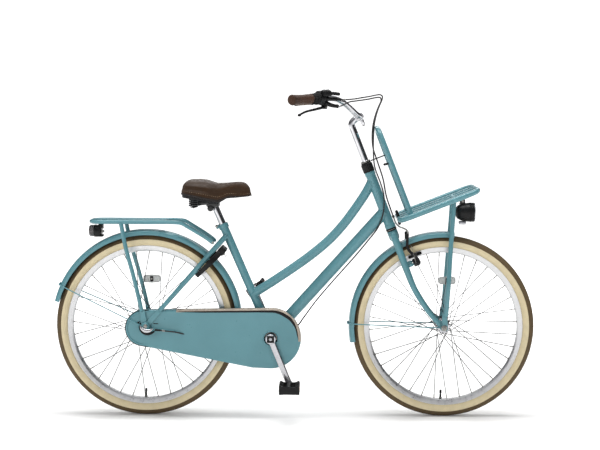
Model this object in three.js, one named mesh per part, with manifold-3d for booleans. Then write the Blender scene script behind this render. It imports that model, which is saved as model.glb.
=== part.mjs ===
// Dutch city bicycle with a step-through frame, chain case, front and rear carriers and a three-speed rear hub.
// Millimetres, +X forward, +Y to the rider's left, +Z up. Layout numbers are taken from the rear axle's foot point,
// and the outer group moves them so that the origin is under the middle of the bicycle.
import * as THREE from "three";
import { mergeVertices } from "three/addons/utils/BufferGeometryUtils.js";
import Module from "manifold-3d";

const wasm = await Module();
wasm.setup();

// ---------- driving dimensions ----------
const TYRE_R = 327; // 47-559 tyre, outer radius
const TYRE_W = 47;
const RIM_R = 285.5; // rim edge radius
const RIM_IN = 265.5;
const WHEELBASE = 1067.6;
const MID_X = 530.5; // half-way between the two ends, from the rear axle
const GAP = 0.3;

const BB = [448, 286.5]; // bottom bracket, X and Z
const SEAT_TOP = [271.5, 688];
const SEAT_TUBE_R = 15;
const DOWN_TUBE_R = 21;
const DOWN_TOP = [853.7, 738.2];
const TOP_TUBE_R = 16.5;
const HEAD_TUBE_R = 18;
const HEAD_LOW = 9.7; // along the steering axis
const HEAD_HIGH = 226.6;
const HEAD_LEAN = (21.3 * Math.PI) / 180; // steering axis, from the vertical
const STEER = [879.9, 671.1]; // a point on the steering axis
const STEERER_R = 14.2;
const FENDER_R = 344.5; // rear fender, outer radius
const FRONT_FENDER_R = 342;
const FENDER_HALF = 30;
const DROPOUT_Y = 60; // inner face of the rear dropouts
// Outline of the chain case: the hull of three circles, each X, Z and radius.
const CASE_ROUNDS = [
  [-8, 322, 64],
  [395, 285, 104],
  [448, 286.5, 107.5],
];
const CASE_FACE_Y = -66; // inner surface of the chain case's outer face
const CHAIN_Y = -45;
const CRANK = 172;
const CRANK_ANGLE = (22.6 * Math.PI) / 180; // right crank, forward of straight down
const BAR_R = 11.1;
const SPOKES = 36;
const SPOKE_R = 1.2;
const REAR_SPOKE_PHASE = 8.5;
const FRONT_SPOKE_PHASE = 3.4;
const CARRIER_R = 7;
const FRONT_CARRIER_R = 9.5;

// ---------- colours ----------
const TEAL = 0x62898b,
  BLACK = 0x1b1b1c,
  BROWN = 0x4a2f22,
  SILVER = 0xb9bab8,
  CHROME = 0xd6d6d4,
  TREAD = 0x4e3b29,
  RED = 0x8a1712,
  CLEAR = 0xb9b6b0,
  CREAM = 0xc9b795;

// ---------- helpers ----------
const V = (x, y, z) => new THREE.Vector3(x, y, z);
const rad = (d) => (d * Math.PI) / 180;

// A closed geometry as a solid, turned right side out.
function solid(geometry) {
  const g = geometry.clone();
  g.deleteAttribute("normal");
  g.deleteAttribute("uv");
  const m = mergeVertices(g, 1e-3);
  const tris = new Uint32Array(m.index.array);
  const verts = new Float32Array(m.attributes.position.array);
  const made = new wasm.Manifold(
    new wasm.Mesh({ numProp: 3, vertProperties: verts, triVerts: tris }),
  );
  if (made.volume() >= 0) return made;
  for (let i = 0; i < tris.length; i += 3)
    [tris[i + 1], tris[i + 2]] = [tris[i + 2], tris[i + 1]];
  return new wasm.Manifold(
    new wasm.Mesh({ numProp: 3, vertProperties: verts, triVerts: tris }),
  );
}

function geometryOf(s) {
  const m = s.getMesh(),
    n = m.numProp,
    v = new Float32Array(m.numVert * 3);
  for (let i = 0; i < m.numVert; i++)
    v.set(m.vertProperties.subarray(i * n, i * n + 3), i * 3);
  const g = new THREE.BufferGeometry();
  g.setAttribute("position", new THREE.BufferAttribute(v, 3));
  g.setIndex(new THREE.BufferAttribute(new Uint32Array(m.triVerts), 1));
  g.computeVertexNormals();
  return g;
}

const join = (...list) => list.flat().reduce((a, b) => a.add(b));
const cut = (a, ...list) => list.flat().reduce((p, b) => p.subtract(b), a);
// The largest body of a solid, without slivers left by a cut.
const main = (s) =>
  s.decompose().reduce((a, b) => (b.volume() > a.volume() ? b : a));

function placed(geometry, matrix) {
  const g = geometry.clone();
  g.applyMatrix4(matrix);
  return solid(g);
}

// The matrix that takes +Y onto the line from a to b, at its middle.
function along(a, b) {
  const d = b.clone().sub(a);
  const q = new THREE.Quaternion().setFromUnitVectors(
    V(0, 1, 0),
    d.clone().normalize(),
  );
  return new THREE.Matrix4().compose(
    a.clone().add(b).multiplyScalar(0.5),
    q,
    V(1, 1, 1),
  );
}

function rod(a, b, r0, r1 = r0, sides = 12) {
  return placed(
    new THREE.CylinderGeometry(r1, r0, a.distanceTo(b), sides),
    along(a, b),
  );
}

// A straight pipe with open ends.
function pipe(a, b, rOut, rIn, sides = 16) {
  const h = a.distanceTo(b) / 2;
  const profile = [
    [rIn, -h],
    [rOut, -h],
    [rOut, h],
    [rIn, h],
    [rIn, -h],
  ].map(([x, y]) => new THREE.Vector2(x, y));
  return placed(new THREE.LatheGeometry(profile, sides), along(a, b));
}

function turned(points, sides, cx = 0, cy = 0, cz = 0) {
  const first = points[0],
    last = points[points.length - 1];
  const closed =
    first[0] > 0 && (first[0] !== last[0] || first[1] !== last[1])
      ? [...points, first]
      : points;
  const profile = closed.map(([x, y]) => new THREE.Vector2(x, y));
  return placed(
    new THREE.LatheGeometry(profile, sides),
    new THREE.Matrix4().makeTranslation(cx, cy, cz),
  );
}

function box(x, y, z, sx, sy, sz, turnY = 0, turnX = 0, turnZ = 0) {
  const m = new THREE.Matrix4().compose(
    V(x, y, z),
    new THREE.Quaternion().setFromEuler(
      new THREE.Euler(turnX, turnY, turnZ, "XYZ"),
    ),
    V(1, 1, 1),
  );
  return placed(new THREE.BoxGeometry(sx, sy, sz), m);
}

function circle(r, sides) {
  const s = new THREE.Shape();
  for (let i = 0; i < sides; i++) {
    const a = ((i + 0.5) / sides) * 2 * Math.PI;
    s[i ? "lineTo" : "moveTo"](r * Math.cos(a), r * Math.sin(a));
  }
  s.closePath();
  return s;
}

// A curve that is followed vertex by vertex, so straight runs need no rings in between.
class Vertices extends THREE.Curve {
  constructor(points) {
    super();
    this.points = points;
  }
  getPoint(t, target = new THREE.Vector3()) {
    const f = t * (this.points.length - 1);
    const i = Math.min(Math.floor(f + 1e-9), this.points.length - 2);
    return target.lerpVectors(this.points[i], this.points[i + 1], f - i);
  }
  getPointAt(u, target) {
    return this.getPoint(u, target);
  }
  getSpacedPoints() {
    return this.points.map((p) => p.clone());
  }
  getTangentAt(u, target = new THREE.Vector3()) {
    const i = Math.round(u * (this.points.length - 1));
    const p = this.points;
    target.set(0, 0, 0);
    if (i > 0) target.add(p[i].clone().sub(p[i - 1]).normalize());
    if (i < p.length - 1) target.add(p[i + 1].clone().sub(p[i]).normalize());
    return target.normalize();
  }
}

// Points of a polyline that are needed to stay within the tolerance.
function thinned(p, tolerance) {
  if (p.length < 3) return p;
  const line = new THREE.Line3(p[0], p[p.length - 1]);
  const on = new THREE.Vector3();
  let worst = 0,
    at = 0;
  for (let i = 1; i < p.length - 1; i++) {
    const d = line.closestPointToPoint(p[i], true, on).distanceTo(p[i]);
    if (d > worst) {
      worst = d;
      at = i;
    }
  }
  if (worst < tolerance) return [p[0], p[p.length - 1]];
  return [
    ...thinned(p.slice(0, at + 1), tolerance).slice(0, -1),
    ...thinned(p.slice(at), tolerance),
  ];
}

// A round bar along a smooth curve through the points. radiusAt may change its radius along it.
const bendTolerance = (r) => Math.min(1.2, Math.max(0.5, 0.12 * r));
function bar(
  points,
  r,
  samples,
  sides = 8,
  radiusAt = null,
  tolerance = bendTolerance(r),
) {
  const smooth = new THREE.CatmullRomCurve3(
    points.map((p) => V(...p)),
    false,
    "centripetal",
  );
  const at = thinned(smooth.getSpacedPoints(samples * 4), tolerance);
  const curve = new Vertices(at);
  const g = new THREE.ExtrudeGeometry(circle(r, sides), {
    extrudePath: curve,
    steps: at.length - 1,
    bevelEnabled: false,
  });
  if (radiusAt) {
    const run = [0];
    for (let k = 1; k < at.length; k++)
      run.push(run[k - 1] + at[k].distanceTo(at[k - 1]));
    const total = run[run.length - 1];
    const tangent = at.map((_, k) => curve.getTangentAt(k / (at.length - 1)));
    const pos = g.attributes.position;
    for (let i = 0; i < pos.count; i++) {
      const p = V(pos.getX(i), pos.getY(i), pos.getZ(i));
      let best = 0,
        least = Infinity;
      for (let k = 0; k < at.length; k++) {
        const d = p.clone().sub(at[k]);
        const miss = Math.abs(d.dot(tangent[k])) + Math.abs(d.length() - r);
        if (miss < least) {
          least = miss;
          best = k;
        }
      }
      const f = radiusAt(run[best] / total) / r;
      p.sub(at[best]).multiplyScalar(f).add(at[best]);
      pos.setXYZ(i, p.x, p.y, p.z);
    }
  }
  return solid(g);
}

// A flat outline in X and Z, given a thickness from y0 to y1.
function plate(shape, y0, y1, curveSegments = 12) {
  const g = new THREE.ExtrudeGeometry(shape, {
    depth: y1 - y0,
    bevelEnabled: false,
    curveSegments,
  });
  g.applyMatrix4(new THREE.Matrix4().makeRotationX(Math.PI / 2));
  g.applyMatrix4(new THREE.Matrix4().makeTranslation(0, y1, 0));
  return solid(g);
}

function polygon(points) {
  const s = new THREE.Shape();
  points.forEach(([x, y], i) => s[i ? "lineTo" : "moveTo"](x, y));
  s.closePath();
  return s;
}

// The outline of a belt round two circles.
function beltShape([x0, z0], r0, [x1, z1], r1, n = 14) {
  const d = Math.hypot(x1 - x0, z1 - z0);
  const base = Math.atan2(z1 - z0, x1 - x0);
  const t = Math.acos((r0 - r1) / d);
  const pts = [];
  for (let i = 0; i <= n; i++) {
    const a = base - t + (2 * t * i) / n;
    pts.push([x1 + r1 * Math.cos(a), z1 + r1 * Math.sin(a)]);
  }
  for (let i = 0; i <= n; i++) {
    const a = base + t + ((2 * Math.PI - 2 * t) * i) / n;
    pts.push([x0 + r0 * Math.cos(a), z0 + r0 * Math.sin(a)]);
  }
  return polygon(pts);
}

// A sector of a disc across the whole width, to keep part of a ring.
function sector(cx, cz, a0, a1, R = 500) {
  const pts = [[cx, cz]];
  const n = Math.max(4, Math.ceil((a1 - a0) / 20));
  for (let i = 0; i <= n; i++) {
    const a = rad(a0 + ((a1 - a0) * i) / n);
    pts.push([cx + R * Math.cos(a), cz + R * Math.sin(a)]);
  }
  return plate(polygon(pts), -120, 120);
}

const both = (make) => [make(-1), make(1)];

// Steering frame: n forward of the axis, u up along it, y to the left.
const SN = [Math.cos(HEAD_LEAN), Math.sin(HEAD_LEAN)];
const SU = [-Math.sin(HEAD_LEAN), Math.cos(HEAD_LEAN)];
const S = (n, u, y = 0) =>
  V(STEER[0] + n * SN[0] + u * SU[0], y, STEER[1] + n * SN[1] + u * SU[1]);
const sp = (n, u, y = 0) => S(n, u, y).toArray();

// ---------- scene graph ----------
const bicycle = new THREE.Group();
bicycle.position.set(-MID_X, 0, 0);
const frame = new THREE.Group();
const steering = new THREE.Group();
const rearWheel = new THREE.Group();
rearWheel.position.set(0, 0, TYRE_R);
const frontWheel = new THREE.Group();
frontWheel.position.set(WHEELBASE, 0, TYRE_R);
const cranks = new THREE.Group();
cranks.position.set(BB[0], 0, BB[1]);
const saddle = new THREE.Group();
bicycle.add(frame, steering, rearWheel, frontWheel, cranks, saddle);

function piece(group, name, s, color, roughness, metalness) {
  const mesh = new THREE.Mesh(
    geometryOf(s),
    new THREE.MeshStandardMaterial({ color, roughness, metalness }),
  );
  mesh.name = name;
  group.add(mesh);
  return mesh;
}
const paint = [TEAL, 0.38, 0.1],
  black = [BLACK, 0.5, 0],
  chrome = [CHROME, 0.15, 1],
  alloy = [SILVER, 0.35, 1];

// ---------- frame tubes ----------
const bb = V(BB[0], 0, BB[1]);
const seatTop = V(SEAT_TOP[0], 0, SEAT_TOP[1]);
const seatDir = seatTop.clone().sub(bb).normalize();
const onSeat = (t) => bb.clone().addScaledVector(seatDir, t);
const seatLength = seatTop.distanceTo(bb);

const FLAT = Math.cos(Math.PI / 16); // flat-to-vertex ratio of the cutters below
const headCut = rod(
  S(0, -40),
  S(0, 280),
  (HEAD_TUBE_R + GAP) / FLAT,
  undefined,
  16,
);
const bbCut = rod(
  V(BB[0], -60, BB[1]),
  V(BB[0], 60, BB[1]),
  (20 + GAP) / FLAT,
  undefined,
  16,
);
const downTop = V(DOWN_TOP[0], 0, DOWN_TOP[1]);
const downCut = rod(
  bb,
  downTop,
  (DOWN_TUBE_R + GAP) / FLAT,
  undefined,
  16,
);
const seatCut = rod(
  onSeat(-10),
  onSeat(seatLength + 10),
  (SEAT_TUBE_R + GAP) / FLAT,
  undefined,
  16,
);

piece(
  frame,
  "head_tube",
  pipe(S(0, HEAD_LOW), S(0, HEAD_HIGH), HEAD_TUBE_R, 15.6, 20),
  ...paint,
);
piece(
  frame,
  "bottom_bracket_shell",
  pipe(V(BB[0], -34, BB[1]), V(BB[0], 34, BB[1]), 20, 9.2, 20),
  ...paint,
);
piece(
  frame,
  "down_tube",
  main(cut(pipe(bb, downTop, DOWN_TUBE_R, 19.2, 16), headCut, bbCut)),
  ...paint,
);
piece(
  frame,
  "seat_tube",
  main(
    cut(pipe(bb, seatTop, SEAT_TUBE_R, 13.2, 16), bbCut, downCut),
  ),
  ...paint,
);
// The top tube runs low from the seat tube and swings up to the head tube.
const topPath = [
  [375.5, 0, 434.5],
  [394.2, 0, 446.5],
  [459.1, 0, 488.4],
  [528.6, 0, 535.4],
  [592.3, 0, 582],
  [653.5, 0, 634.1],
  [703.5, 0, 688.5],
  [746.8, 0, 746.5],
  [786, 0, 806],
  [806, 0, 844],
];
piece(
  frame,
  "top_tube",
  main(
    cut(
      bar(topPath, TOP_TUBE_R, 16, 10, null, 0.9),
      bar(
        [[362, 0, 425], ...topPath, [820, 0, 874]],
        TOP_TUBE_R - 2.6,
        16,
        6,
      ),
      headCut,
      seatCut,
    ),
  ),
  ...paint,
);

// Chainstays, dropouts and the kickstand plate between them.
const stayPath = (s) => [
  [426, s * 27, 288.3],
  [373, s * 30.5, 293.3],
  [300, s * 37, 299.9],
  [200, s * 46, 308.9],
  [100, s * 52.5, 318],
  [45, s * 56, 322.9],
  [24, s * 57.2, 324.8],
];
const stayTaper = (t) => 9 - 2.2 * t;
const chainstay = (s, extra = 0) =>
  bar(stayPath(s), 9, 8, 8, (t) => stayTaper(t) + extra);
const dropout = (s) =>
  cut(
    plate(
      polygon([
        [34, 313],
        [34, 336],
        [14, 343],
        [-12, 341],
        [-18, 330],
        [-14, 314],
        [0, 309],
      ]),
      s > 0 ? DROPOUT_Y : -DROPOUT_Y - 4.5,
      s > 0 ? DROPOUT_Y + 4.5 : -DROPOUT_Y,
    ),
    rod(V(0, s * 50, TYRE_R), V(0, s * 80, TYRE_R), 5.7, undefined, 12),
  );
piece(
  frame,
  "chainstays",
  main(
    cut(
      join(
        chainstay(-1),
        chainstay(1),
        dropout(-1),
        dropout(1),
        box(372, 0, 284.2, 40, 66, 6),
      ),
      bbCut,
    ),
  ),
  ...paint,
);

// Seatstays: from the seat tube round the fender to tabs on the axle, outside the chain case.
const stayDir = [0.661, 0.75];
const st = (R, y) => [stayDir[0] * R, y, TYRE_R + stayDir[1] * R];
const seatstay = (s) =>
  join(
    bar(
      [
        st(424, s * 19),
        st(398, s * 34),
        st(366, s * 44),
        st(300, s * 48),
        st(215, s * 54),
        st(140, s * 65),
        st(84, s * 76.3),
      ],
      9,
      8,
      8,
      (t) => 9 - 1.6 * t * t,
    ),
    cut(
      box(
        stayDir[0] * 40,
        s * 71.2,
        TYRE_R + stayDir[1] * 40,
        104,
        4.4,
        20,
        -Math.atan2(stayDir[1], stayDir[0]),
      ),
      rod(V(0, s * 60, TYRE_R), V(0, s * 90, TYRE_R), 5.7, undefined, 12),
    ),
  );
piece(
  frame,
  "seatstays",
  main(
    cut(
      join(
        seatstay(-1),
        seatstay(1),
        rod(V(...st(367, -44)), V(...st(367, 44)), 6.5, undefined, 10),
      ),
      seatCut,
    ),
  ),
  ...paint,
);
const clampLow = onSeat(seatLength - 14),
  clampHigh = onSeat(seatLength + 4);
piece(
  frame,
  "seat_clamp",
  cut(
    join(
      rod(clampLow, clampHigh, 18.2, undefined, 18),
      box(251.5, 0, 673.5, 18, 14, 15, -0.4137),
      rod(V(247.5, -12, 671.5), V(247.5, 12, 671.5), 4.5, undefined, 8),
    ),
    rod(onSeat(seatLength - 40), onSeat(seatLength + 0.3), 15.7, undefined, 16),
    rod(onSeat(seatLength - 2), onSeat(seatLength + 40), 13.2, undefined, 16),
  ),
  ...paint,
);

// Headset: a moulded cup over the top of the head tube, a flat one below it.
piece(
  frame,
  "headset_upper_cup",
  placed(
    new THREE.LatheGeometry(
      [
        [14.75, -20.5],
        [18.6, -20.5],
        [20.2, -14],
        [20.2, 8],
        [18, 17],
        [15.6, 20.5],
        [14.75, 20.5],
        [14.75, -20.5],
      ].map(([x, y]) => new THREE.Vector2(x, y)),
      20,
    ),
    along(S(0, HEAD_HIGH + 0.4), S(0, HEAD_HIGH + 41.4)),
  ),
  ...black,
);
piece(
  frame,
  "headset_lower_cup",
  pipe(S(0, -0.4), S(0, HEAD_LOW - 0.3), 19.6, 14.75, 20),
  ...black,
);

// ---------- fenders ----------
function fender(cx, cz, R, a0, a1) {
  const w = FENDER_HALF;
  const t = 1.6;
  const ring = turned(
    [
      [R - 19.5, -w],
      [R - 9, -w],
      [R - 2, -w * 0.62],
      [R, 0],
      [R - 2, w * 0.62],
      [R - 9, w],
      [R - 19.5, w],
      [R - 19.5, w - t],
      [R - 9.7, w - t],
      [R - 2 - t, w * 0.57],
      [R - t, 0],
      [R - 2 - t, -w * 0.57],
      [R - 9.7, -w + t],
      [R - 19.5, -w + t],
    ],
    38,
    cx,
    0,
    cz,
  );
  return ring.intersect(sector(cx, cz, a0, a1));
}
piece(
  frame,
  "rear_fender",
  join(
    fender(0, TYRE_R, FENDER_R, 1, 165.6),
    // tab bolted to the seatstay bridge
    box(
      stayDir[0] * 351.5,
      0,
      TYRE_R + stayDir[1] * 351.5,
      16.4,
      14,
      10,
      -Math.atan2(stayDir[1], stayDir[0]),
    ),
  ),
  ...paint,
);
const eye = (x, y, z, t) =>
  cut(
    rod(V(x, y - t / 2, z), V(x, y + t / 2, z), 10, undefined, 10),
    rod(V(x, y - t, z), V(x, y + t, z), 5.8, undefined, 8),
  );
// A stay: an eye on each axle end, a wire to each side of the fender, and a bow over its back.
function fenderStay(cx, yEye, R, angle, reach) {
  const a = rad(angle);
  const c = Math.cos(a),
    s = Math.sin(a);
  const at = (r, y) => [cx + r * c, y, TYRE_R + r * s];
  return join(
    eye(cx, -yEye, TYRE_R, 2.4),
    eye(cx, yEye, TYRE_R, 2.4),
    bar(
      [
        at(8, -yEye),
        at(40, -yEye),
        at(R - 60, -36 - reach),
        at(R - 8, -33.5),
        at(R + 0.5, -31.5),
        at(R + 3.4, -22),
        at(R + 3.4, 0),
        at(R + 3.4, 22),
        at(R + 0.5, 31.5),
        at(R - 8, 33.5),
        at(R - 60, 36 + reach),
        at(40, yEye),
        at(8, yEye),
      ],
      2,
      28,
      5,
    ),
  );
}
piece(
  frame,
  "rear_fender_stay",
  fenderStay(0, 80, FENDER_R, 155.3, 8),
  ...paint,
);

// ---------- rear carrier: deck, slope to the seatstays and two legs, welded ----------
const deckZ = 700;
const railHalf = 62;
const railPath = [
  [236, -49, 629],
  [222, -52, 640.5],
  [150, -60, 685],
  [128, -railHalf, 697],
  [104, -railHalf, deckZ],
  [0, -railHalf, deckZ],
  [-110, -railHalf, deckZ],
  [-160, -railHalf, deckZ],
  [-182, -57, deckZ],
  [-196, -38, deckZ],
  [-198.5, 0, deckZ],
  [-196, 38, deckZ],
  [-182, 57, deckZ],
  [-160, railHalf, deckZ],
  [-110, railHalf, deckZ],
  [0, railHalf, deckZ],
  [104, railHalf, deckZ],
  [128, railHalf, 697],
  [150, 60, 685],
  [222, 52, 640.5],
  [236, 49, 629],
];
const carrierLeg = (s) =>
  join(
    bar(
      [
        [-88, s * 62, 698],
        [-70, s * 68, 612],
        [-42, s * 75, 512],
        [-20, s * 79.5, 425],
        [-12, s * 80.5, 388],
      ],
      7.5,
      5,
      7,
    ),
    cut(
      box(-5, s * 75.7, 353, 20, 3.6, 78, -0.15),
      rod(V(0, s * 60, TYRE_R), V(0, s * 90, TYRE_R), 5.7, undefined, 12),
    ),
  );
piece(
  frame,
  "rear_carrier",
  join(
    bar(railPath, CARRIER_R, 34, 6),
    carrierLeg(-1),
    carrierLeg(1),
    ...[60, -88, -150].map((x) =>
      rod(V(x, -railHalf, deckZ), V(x, railHalf, deckZ), 5, undefined, 6),
    ),
    box(-62, 0, deckZ + 5.8, 268, 56, 3),
  ),
  ...paint,
);
piece(
  frame,
  "rear_light",
  join(
    rod(V(-211, 0, 664), V(-188, 0, 664), 21, undefined, 20),
    box(-178, 0, 664, 22, 40, 38),
    box(-168, 0, 683, 16, 26, 14),
    rod(V(-168, 0, 662), V(-156, 0, 662), 4, undefined, 8),
    box(-172, 0, 647, 26, 30, 8),
  ),
  ...black,
);

// ---------- rear axle, gear changer, gear cable ----------
const hex = (y0, y1, r) =>
  rod(V(0, y0, TYRE_R), V(0, y1, TYRE_R), r, undefined, 6);
piece(
  frame,
  "rear_axle",
  join(
    rod(V(0, -94, TYRE_R), V(0, 94, TYRE_R), 5, undefined, 10),
    hex(-92, -82.7, 9),
    hex(82.7, 92, 9),
  ),
  ...alloy,
);
piece(
  frame,
  "gear_changer",
  cut(
    join(
      placed(
        new THREE.LatheGeometry(
          [
            [0, -18],
            [9, -17],
            [15, -12],
            [18, -3],
            [18, 13],
            [0, 13],
          ].map(([x, y]) => new THREE.Vector2(x, y)),
          20,
        ),
        new THREE.Matrix4().makeTranslation(0, -96, TYRE_R),
      ),
      box(20, -89, 314, 44, 10, 12, 0.42),
    ),
    rod(V(0, -97.5, TYRE_R), V(0, -70, TYRE_R), 10, undefined, 12),
  ),
  ...black,
);
const gearCablePath = [
  [683.8, -165, 1157.1],
  [724.2, -150, 1162.7],
  [777.3, -125, 1165],
  [816.8, -105, 1163],
  [836.2, -90, 1149.7],
  [838.8, -80, 1130.6],
  [825.5, -68, 1096.3],
  [816.4, -60, 1067.7],
  [810.5, -50, 1024.6],
  [807.4, -42, 977.8],
  [812.6, -36, 923.2],
  [817.9, -32, 894.3],
  [837.4, -28, 842.8],
  [849.2, -26, 801.4],
  [850.5, -26.5, 758.3],
  [843.5, -25, 718.3],
  [829.2, -17, 681.4],
  [790.6, -9, 629.5],
  [747.6, -8, 577],
  [658, -10, 475],
  [606, -22, 414],
  [566, -46, 362],
  [541, -56.5, 331],
  [505, -57, 319],
  [448, -57, 314.5],
  [300, -58.2, 302],
  [150, -60, 296],
  [122, -66, 296],
  [98, -80, 299],
  [66, -88, 303],
  [44.5, -89.5, 304.5],
];
piece(
  frame,
  "gear_cable",
  bar(gearCablePath, 2.5, 80, 5),
  ...black,
);

// ---------- chain case ----------
const REAR = [0, TYRE_R];
function caseShape(inset, n = 24) {
  const all = [];
  for (const [x, z, r] of CASE_ROUNDS)
    for (let i = 0; i < n; i++) {
      const a = (2 * Math.PI * (i + 0.5)) / n;
      all.push([x + (r - inset) * Math.cos(a), z + (r - inset) * Math.sin(a)]);
    }
  all.sort((p, q) => p[0] - q[0] || p[1] - q[1]);
  const turn = (o, p, q) =>
    (p[0] - o[0]) * (q[1] - o[1]) - (p[1] - o[1]) * (q[0] - o[0]);
  const chain = (points) => {
    const out = [];
    for (const q of points) {
      while (out.length > 1 && turn(out.at(-2), out.at(-1), q) <= 1e-6)
        out.pop();
      out.push(q);
    }
    return out.slice(0, -1);
  };
  return polygon([...chain(all), ...chain(all.slice().reverse())]);
}
const holeY = (x, z, r, y0, y1, sides = 16) =>
  rod(V(x, y0, z), V(x, y1, z), r, undefined, sides);
// The cable's own run, thickened, from one arc fraction to another.
const gearCableCurve = new THREE.CatmullRomCurve3(
  gearCablePath.map((p) => V(...p)),
  false,
  "centripetal",
);
function alongCable(u0, u1, r, n) {
  const pts = [];
  for (let i = 0; i <= n; i++)
    pts.push(gearCableCurve.getPointAt(u0 + ((u1 - u0) * i) / n).toArray());
  return bar(pts, r, n, 8);
}
const arcAt = (x) => {
  // the fraction at which the lower part of the cable passes this X
  for (let u = 1; u > 0.5; u -= 0.0005)
    if (gearCableCurve.getPointAt(u).x > x) return u;
  return 0.5;
};
const cableHole = join(
  alongCable(arcAt(570), arcAt(515), 4.4, 8),
  alongCable(arcAt(140), arcAt(86), 4.4, 8),
);
piece(
  frame,
  "chain_case_outer",
  main(
    cut(
      plate(caseShape(0), CASE_FACE_Y - 2, -44.2),
      plate(caseShape(2), CASE_FACE_Y, -40),
      holeY(0, TYRE_R, 21, -80, -50, 16),
      holeY(BB[0], BB[1], 27, -80, -50, 20),
      cableHole,
    ),
  ),
  ...paint,
);
piece(
  frame,
  "chain_case_inner",
  main(
    cut(
      plate(caseShape(0), -43.8, -33),
      plate(caseShape(2), -60, -35),
      holeY(0, TYRE_R, 30, -60, -20, 16),
      holeY(BB[0], BB[1], 22, -60, -20, 20),
      chainstay(-1, 1.6),
      box(408, -34, 291, 44, 14, 24),
    ),
  ),
  ...paint,
);
const SPROCKET_R = 33.5,
  RING_R = 74.5;
piece(
  frame,
  "chain",
  cut(
    plate(
      beltShape(REAR, SPROCKET_R + 4.6, BB, RING_R + 4.8, 11),
      CHAIN_Y - 3.5,
      CHAIN_Y + 3.5,
    ),
    plate(
      beltShape(REAR, SPROCKET_R + 0.7, BB, RING_R + 1.6, 11),
      CHAIN_Y - 5,
      CHAIN_Y + 5,
    ),
  ),
  0x6b5a45,
  0.5,
  0.8,
);

// ---------- ring lock on the seatstays ----------
// Its plane is parallel to the seatstays, 22.6 in front of them. d runs outward from the hub.
const lockOff = 22.6;
const lockNormal = [stayDir[1], -stayDir[0]];
const lockMatrix = (() => {
  // local x = outward d, local y = left, local z = normal to the lock
  const m = new THREE.Matrix4();
  m.makeBasis(
    V(stayDir[0], 0, stayDir[1]),
    V(0, 1, 0),
    V(-lockNormal[0], 0, -lockNormal[1]),
  );
  m.setPosition(lockNormal[0] * lockOff, 0, TYRE_R + lockNormal[1] * lockOff);
  return m;
})();
const LOCK_C = 318,
  LOCK_R = 62;
function lockArc(rIn, rOut, half, a0, a1, n) {
  const pts = [];
  for (let i = 0; i <= n; i++) {
    const a = rad(a0 + ((a1 - a0) * i) / n);
    pts.push([LOCK_C + rOut * Math.cos(a), rOut * Math.sin(a)]);
  }
  for (let i = n; i >= 0; i--) {
    const a = rad(a0 + ((a1 - a0) * i) / n);
    pts.push([LOCK_C + rIn * Math.cos(a), rIn * Math.sin(a)]);
  }
  const g = new THREE.ExtrudeGeometry(polygon(pts), {
    depth: 2 * half,
    bevelEnabled: false,
  });
  g.translate(0, 0, -half);
  return placed(g, lockMatrix);
}
function lockRing(r, a0, a1, steps, sides) {
  const pts = [];
  for (let i = 0; i <= steps; i++) {
    const a = rad(a0 + ((a1 - a0) * i) / steps);
    pts.push([LOCK_C + LOCK_R * Math.cos(a), LOCK_R * Math.sin(a), 0]);
  }
  const curve = new THREE.CatmullRomCurve3(pts.map((p) => V(...p)));
  return placed(
    new THREE.ExtrudeGeometry(circle(r, sides), {
      extrudePath: curve,
      steps,
      bevelEnabled: false,
    }),
    lockMatrix,
  );
}
const lockBox = (x, y, z, sx, sy, sz) =>
  placed(
    new THREE.BoxGeometry(sx, sy, sz),
    lockMatrix
      .clone()
      .multiply(new THREE.Matrix4().makeTranslation(x, y, z)),
  );
piece(
  frame,
  "lock_body",
  main(
    cut(
      join(
        lockArc(51, 73, 8, -142, 142, 16),
        lockBox(LOCK_C + 62, 0, -1.5, 27, 92, 24),
        // key barrel
        placed(
          new THREE.CylinderGeometry(7, 7, 14, 12),
          lockMatrix
            .clone()
            .multiply(new THREE.Matrix4().makeTranslation(LOCK_C + 50, 36, -10))
            .multiply(new THREE.Matrix4().makeRotationX(Math.PI / 2)),
        ),
      ),
      lockRing(5.6, -150, 150, 20, 6),
      lockArc(LOCK_R, 80, 3.2, 61, 150, 8),
    ),
  ),
  ...black,
);
piece(
  frame,
  "lock_shackle",
  join(
    lockRing(4.2, 50, 140.5, 9, 8),
    lockArc(LOCK_R, 80, 2.4, 65, 70, 2),
  ),
  0x8d8f90,
  0.3,
  1,
);

// ---------- seat ----------
piece(
  saddle,
  "seatpost",
  rod(onSeat(300), onSeat(502), 12.7, undefined, 16),
  ...chrome,
);
const clampAt = V(228, 0, 752);
const rail = (s) =>
  bar(
    [
      [338, s * 9, 785],
      [318, s * 15, 772],
      [280, s * 21, 764],
      [228, s * 22, 764],
      [196, s * 34, 763],
      [170, s * 52, 757],
    ],
    3.5,
    9,
    5,
  );
const coil = (s) => {
  const profile = [[0, 754]];
  for (let i = 0; i < 2; i++)
    profile.push([14, 754 + i * 18], [17, 763 + i * 18]);
  profile.push([14, 790], [0, 790]);
  return placed(
    new THREE.LatheGeometry(
      profile.map(([x, y]) => new THREE.Vector2(x, y)),
      8,
    ),
    new THREE.Matrix4()
      .makeTranslation(170, s * 52, 0)
      .multiply(new THREE.Matrix4().makeRotationX(Math.PI / 2)),
  );
};
piece(
  saddle,
  "saddle_undercarriage",
  main(
    cut(
      join(
        rail(-1),
        rail(1),
        coil(-1),
        coil(1),
        rod(V(338, -12, 785), V(338, 12, 785), 4.2, undefined, 8),
        rod(V(170, -52, 757), V(170, 52, 757), 3.5, undefined, 6),
        rod(
          clampAt.clone().setY(-30),
          clampAt.clone().setY(30),
          14,
          undefined,
          16,
        ),
        rod(onSeat(480), onSeat(500), 18, undefined, 16),
      ),
      rod(onSeat(440), onSeat(530), 13.1, undefined, 16),
    ),
  ),
  ...black,
);
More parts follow.
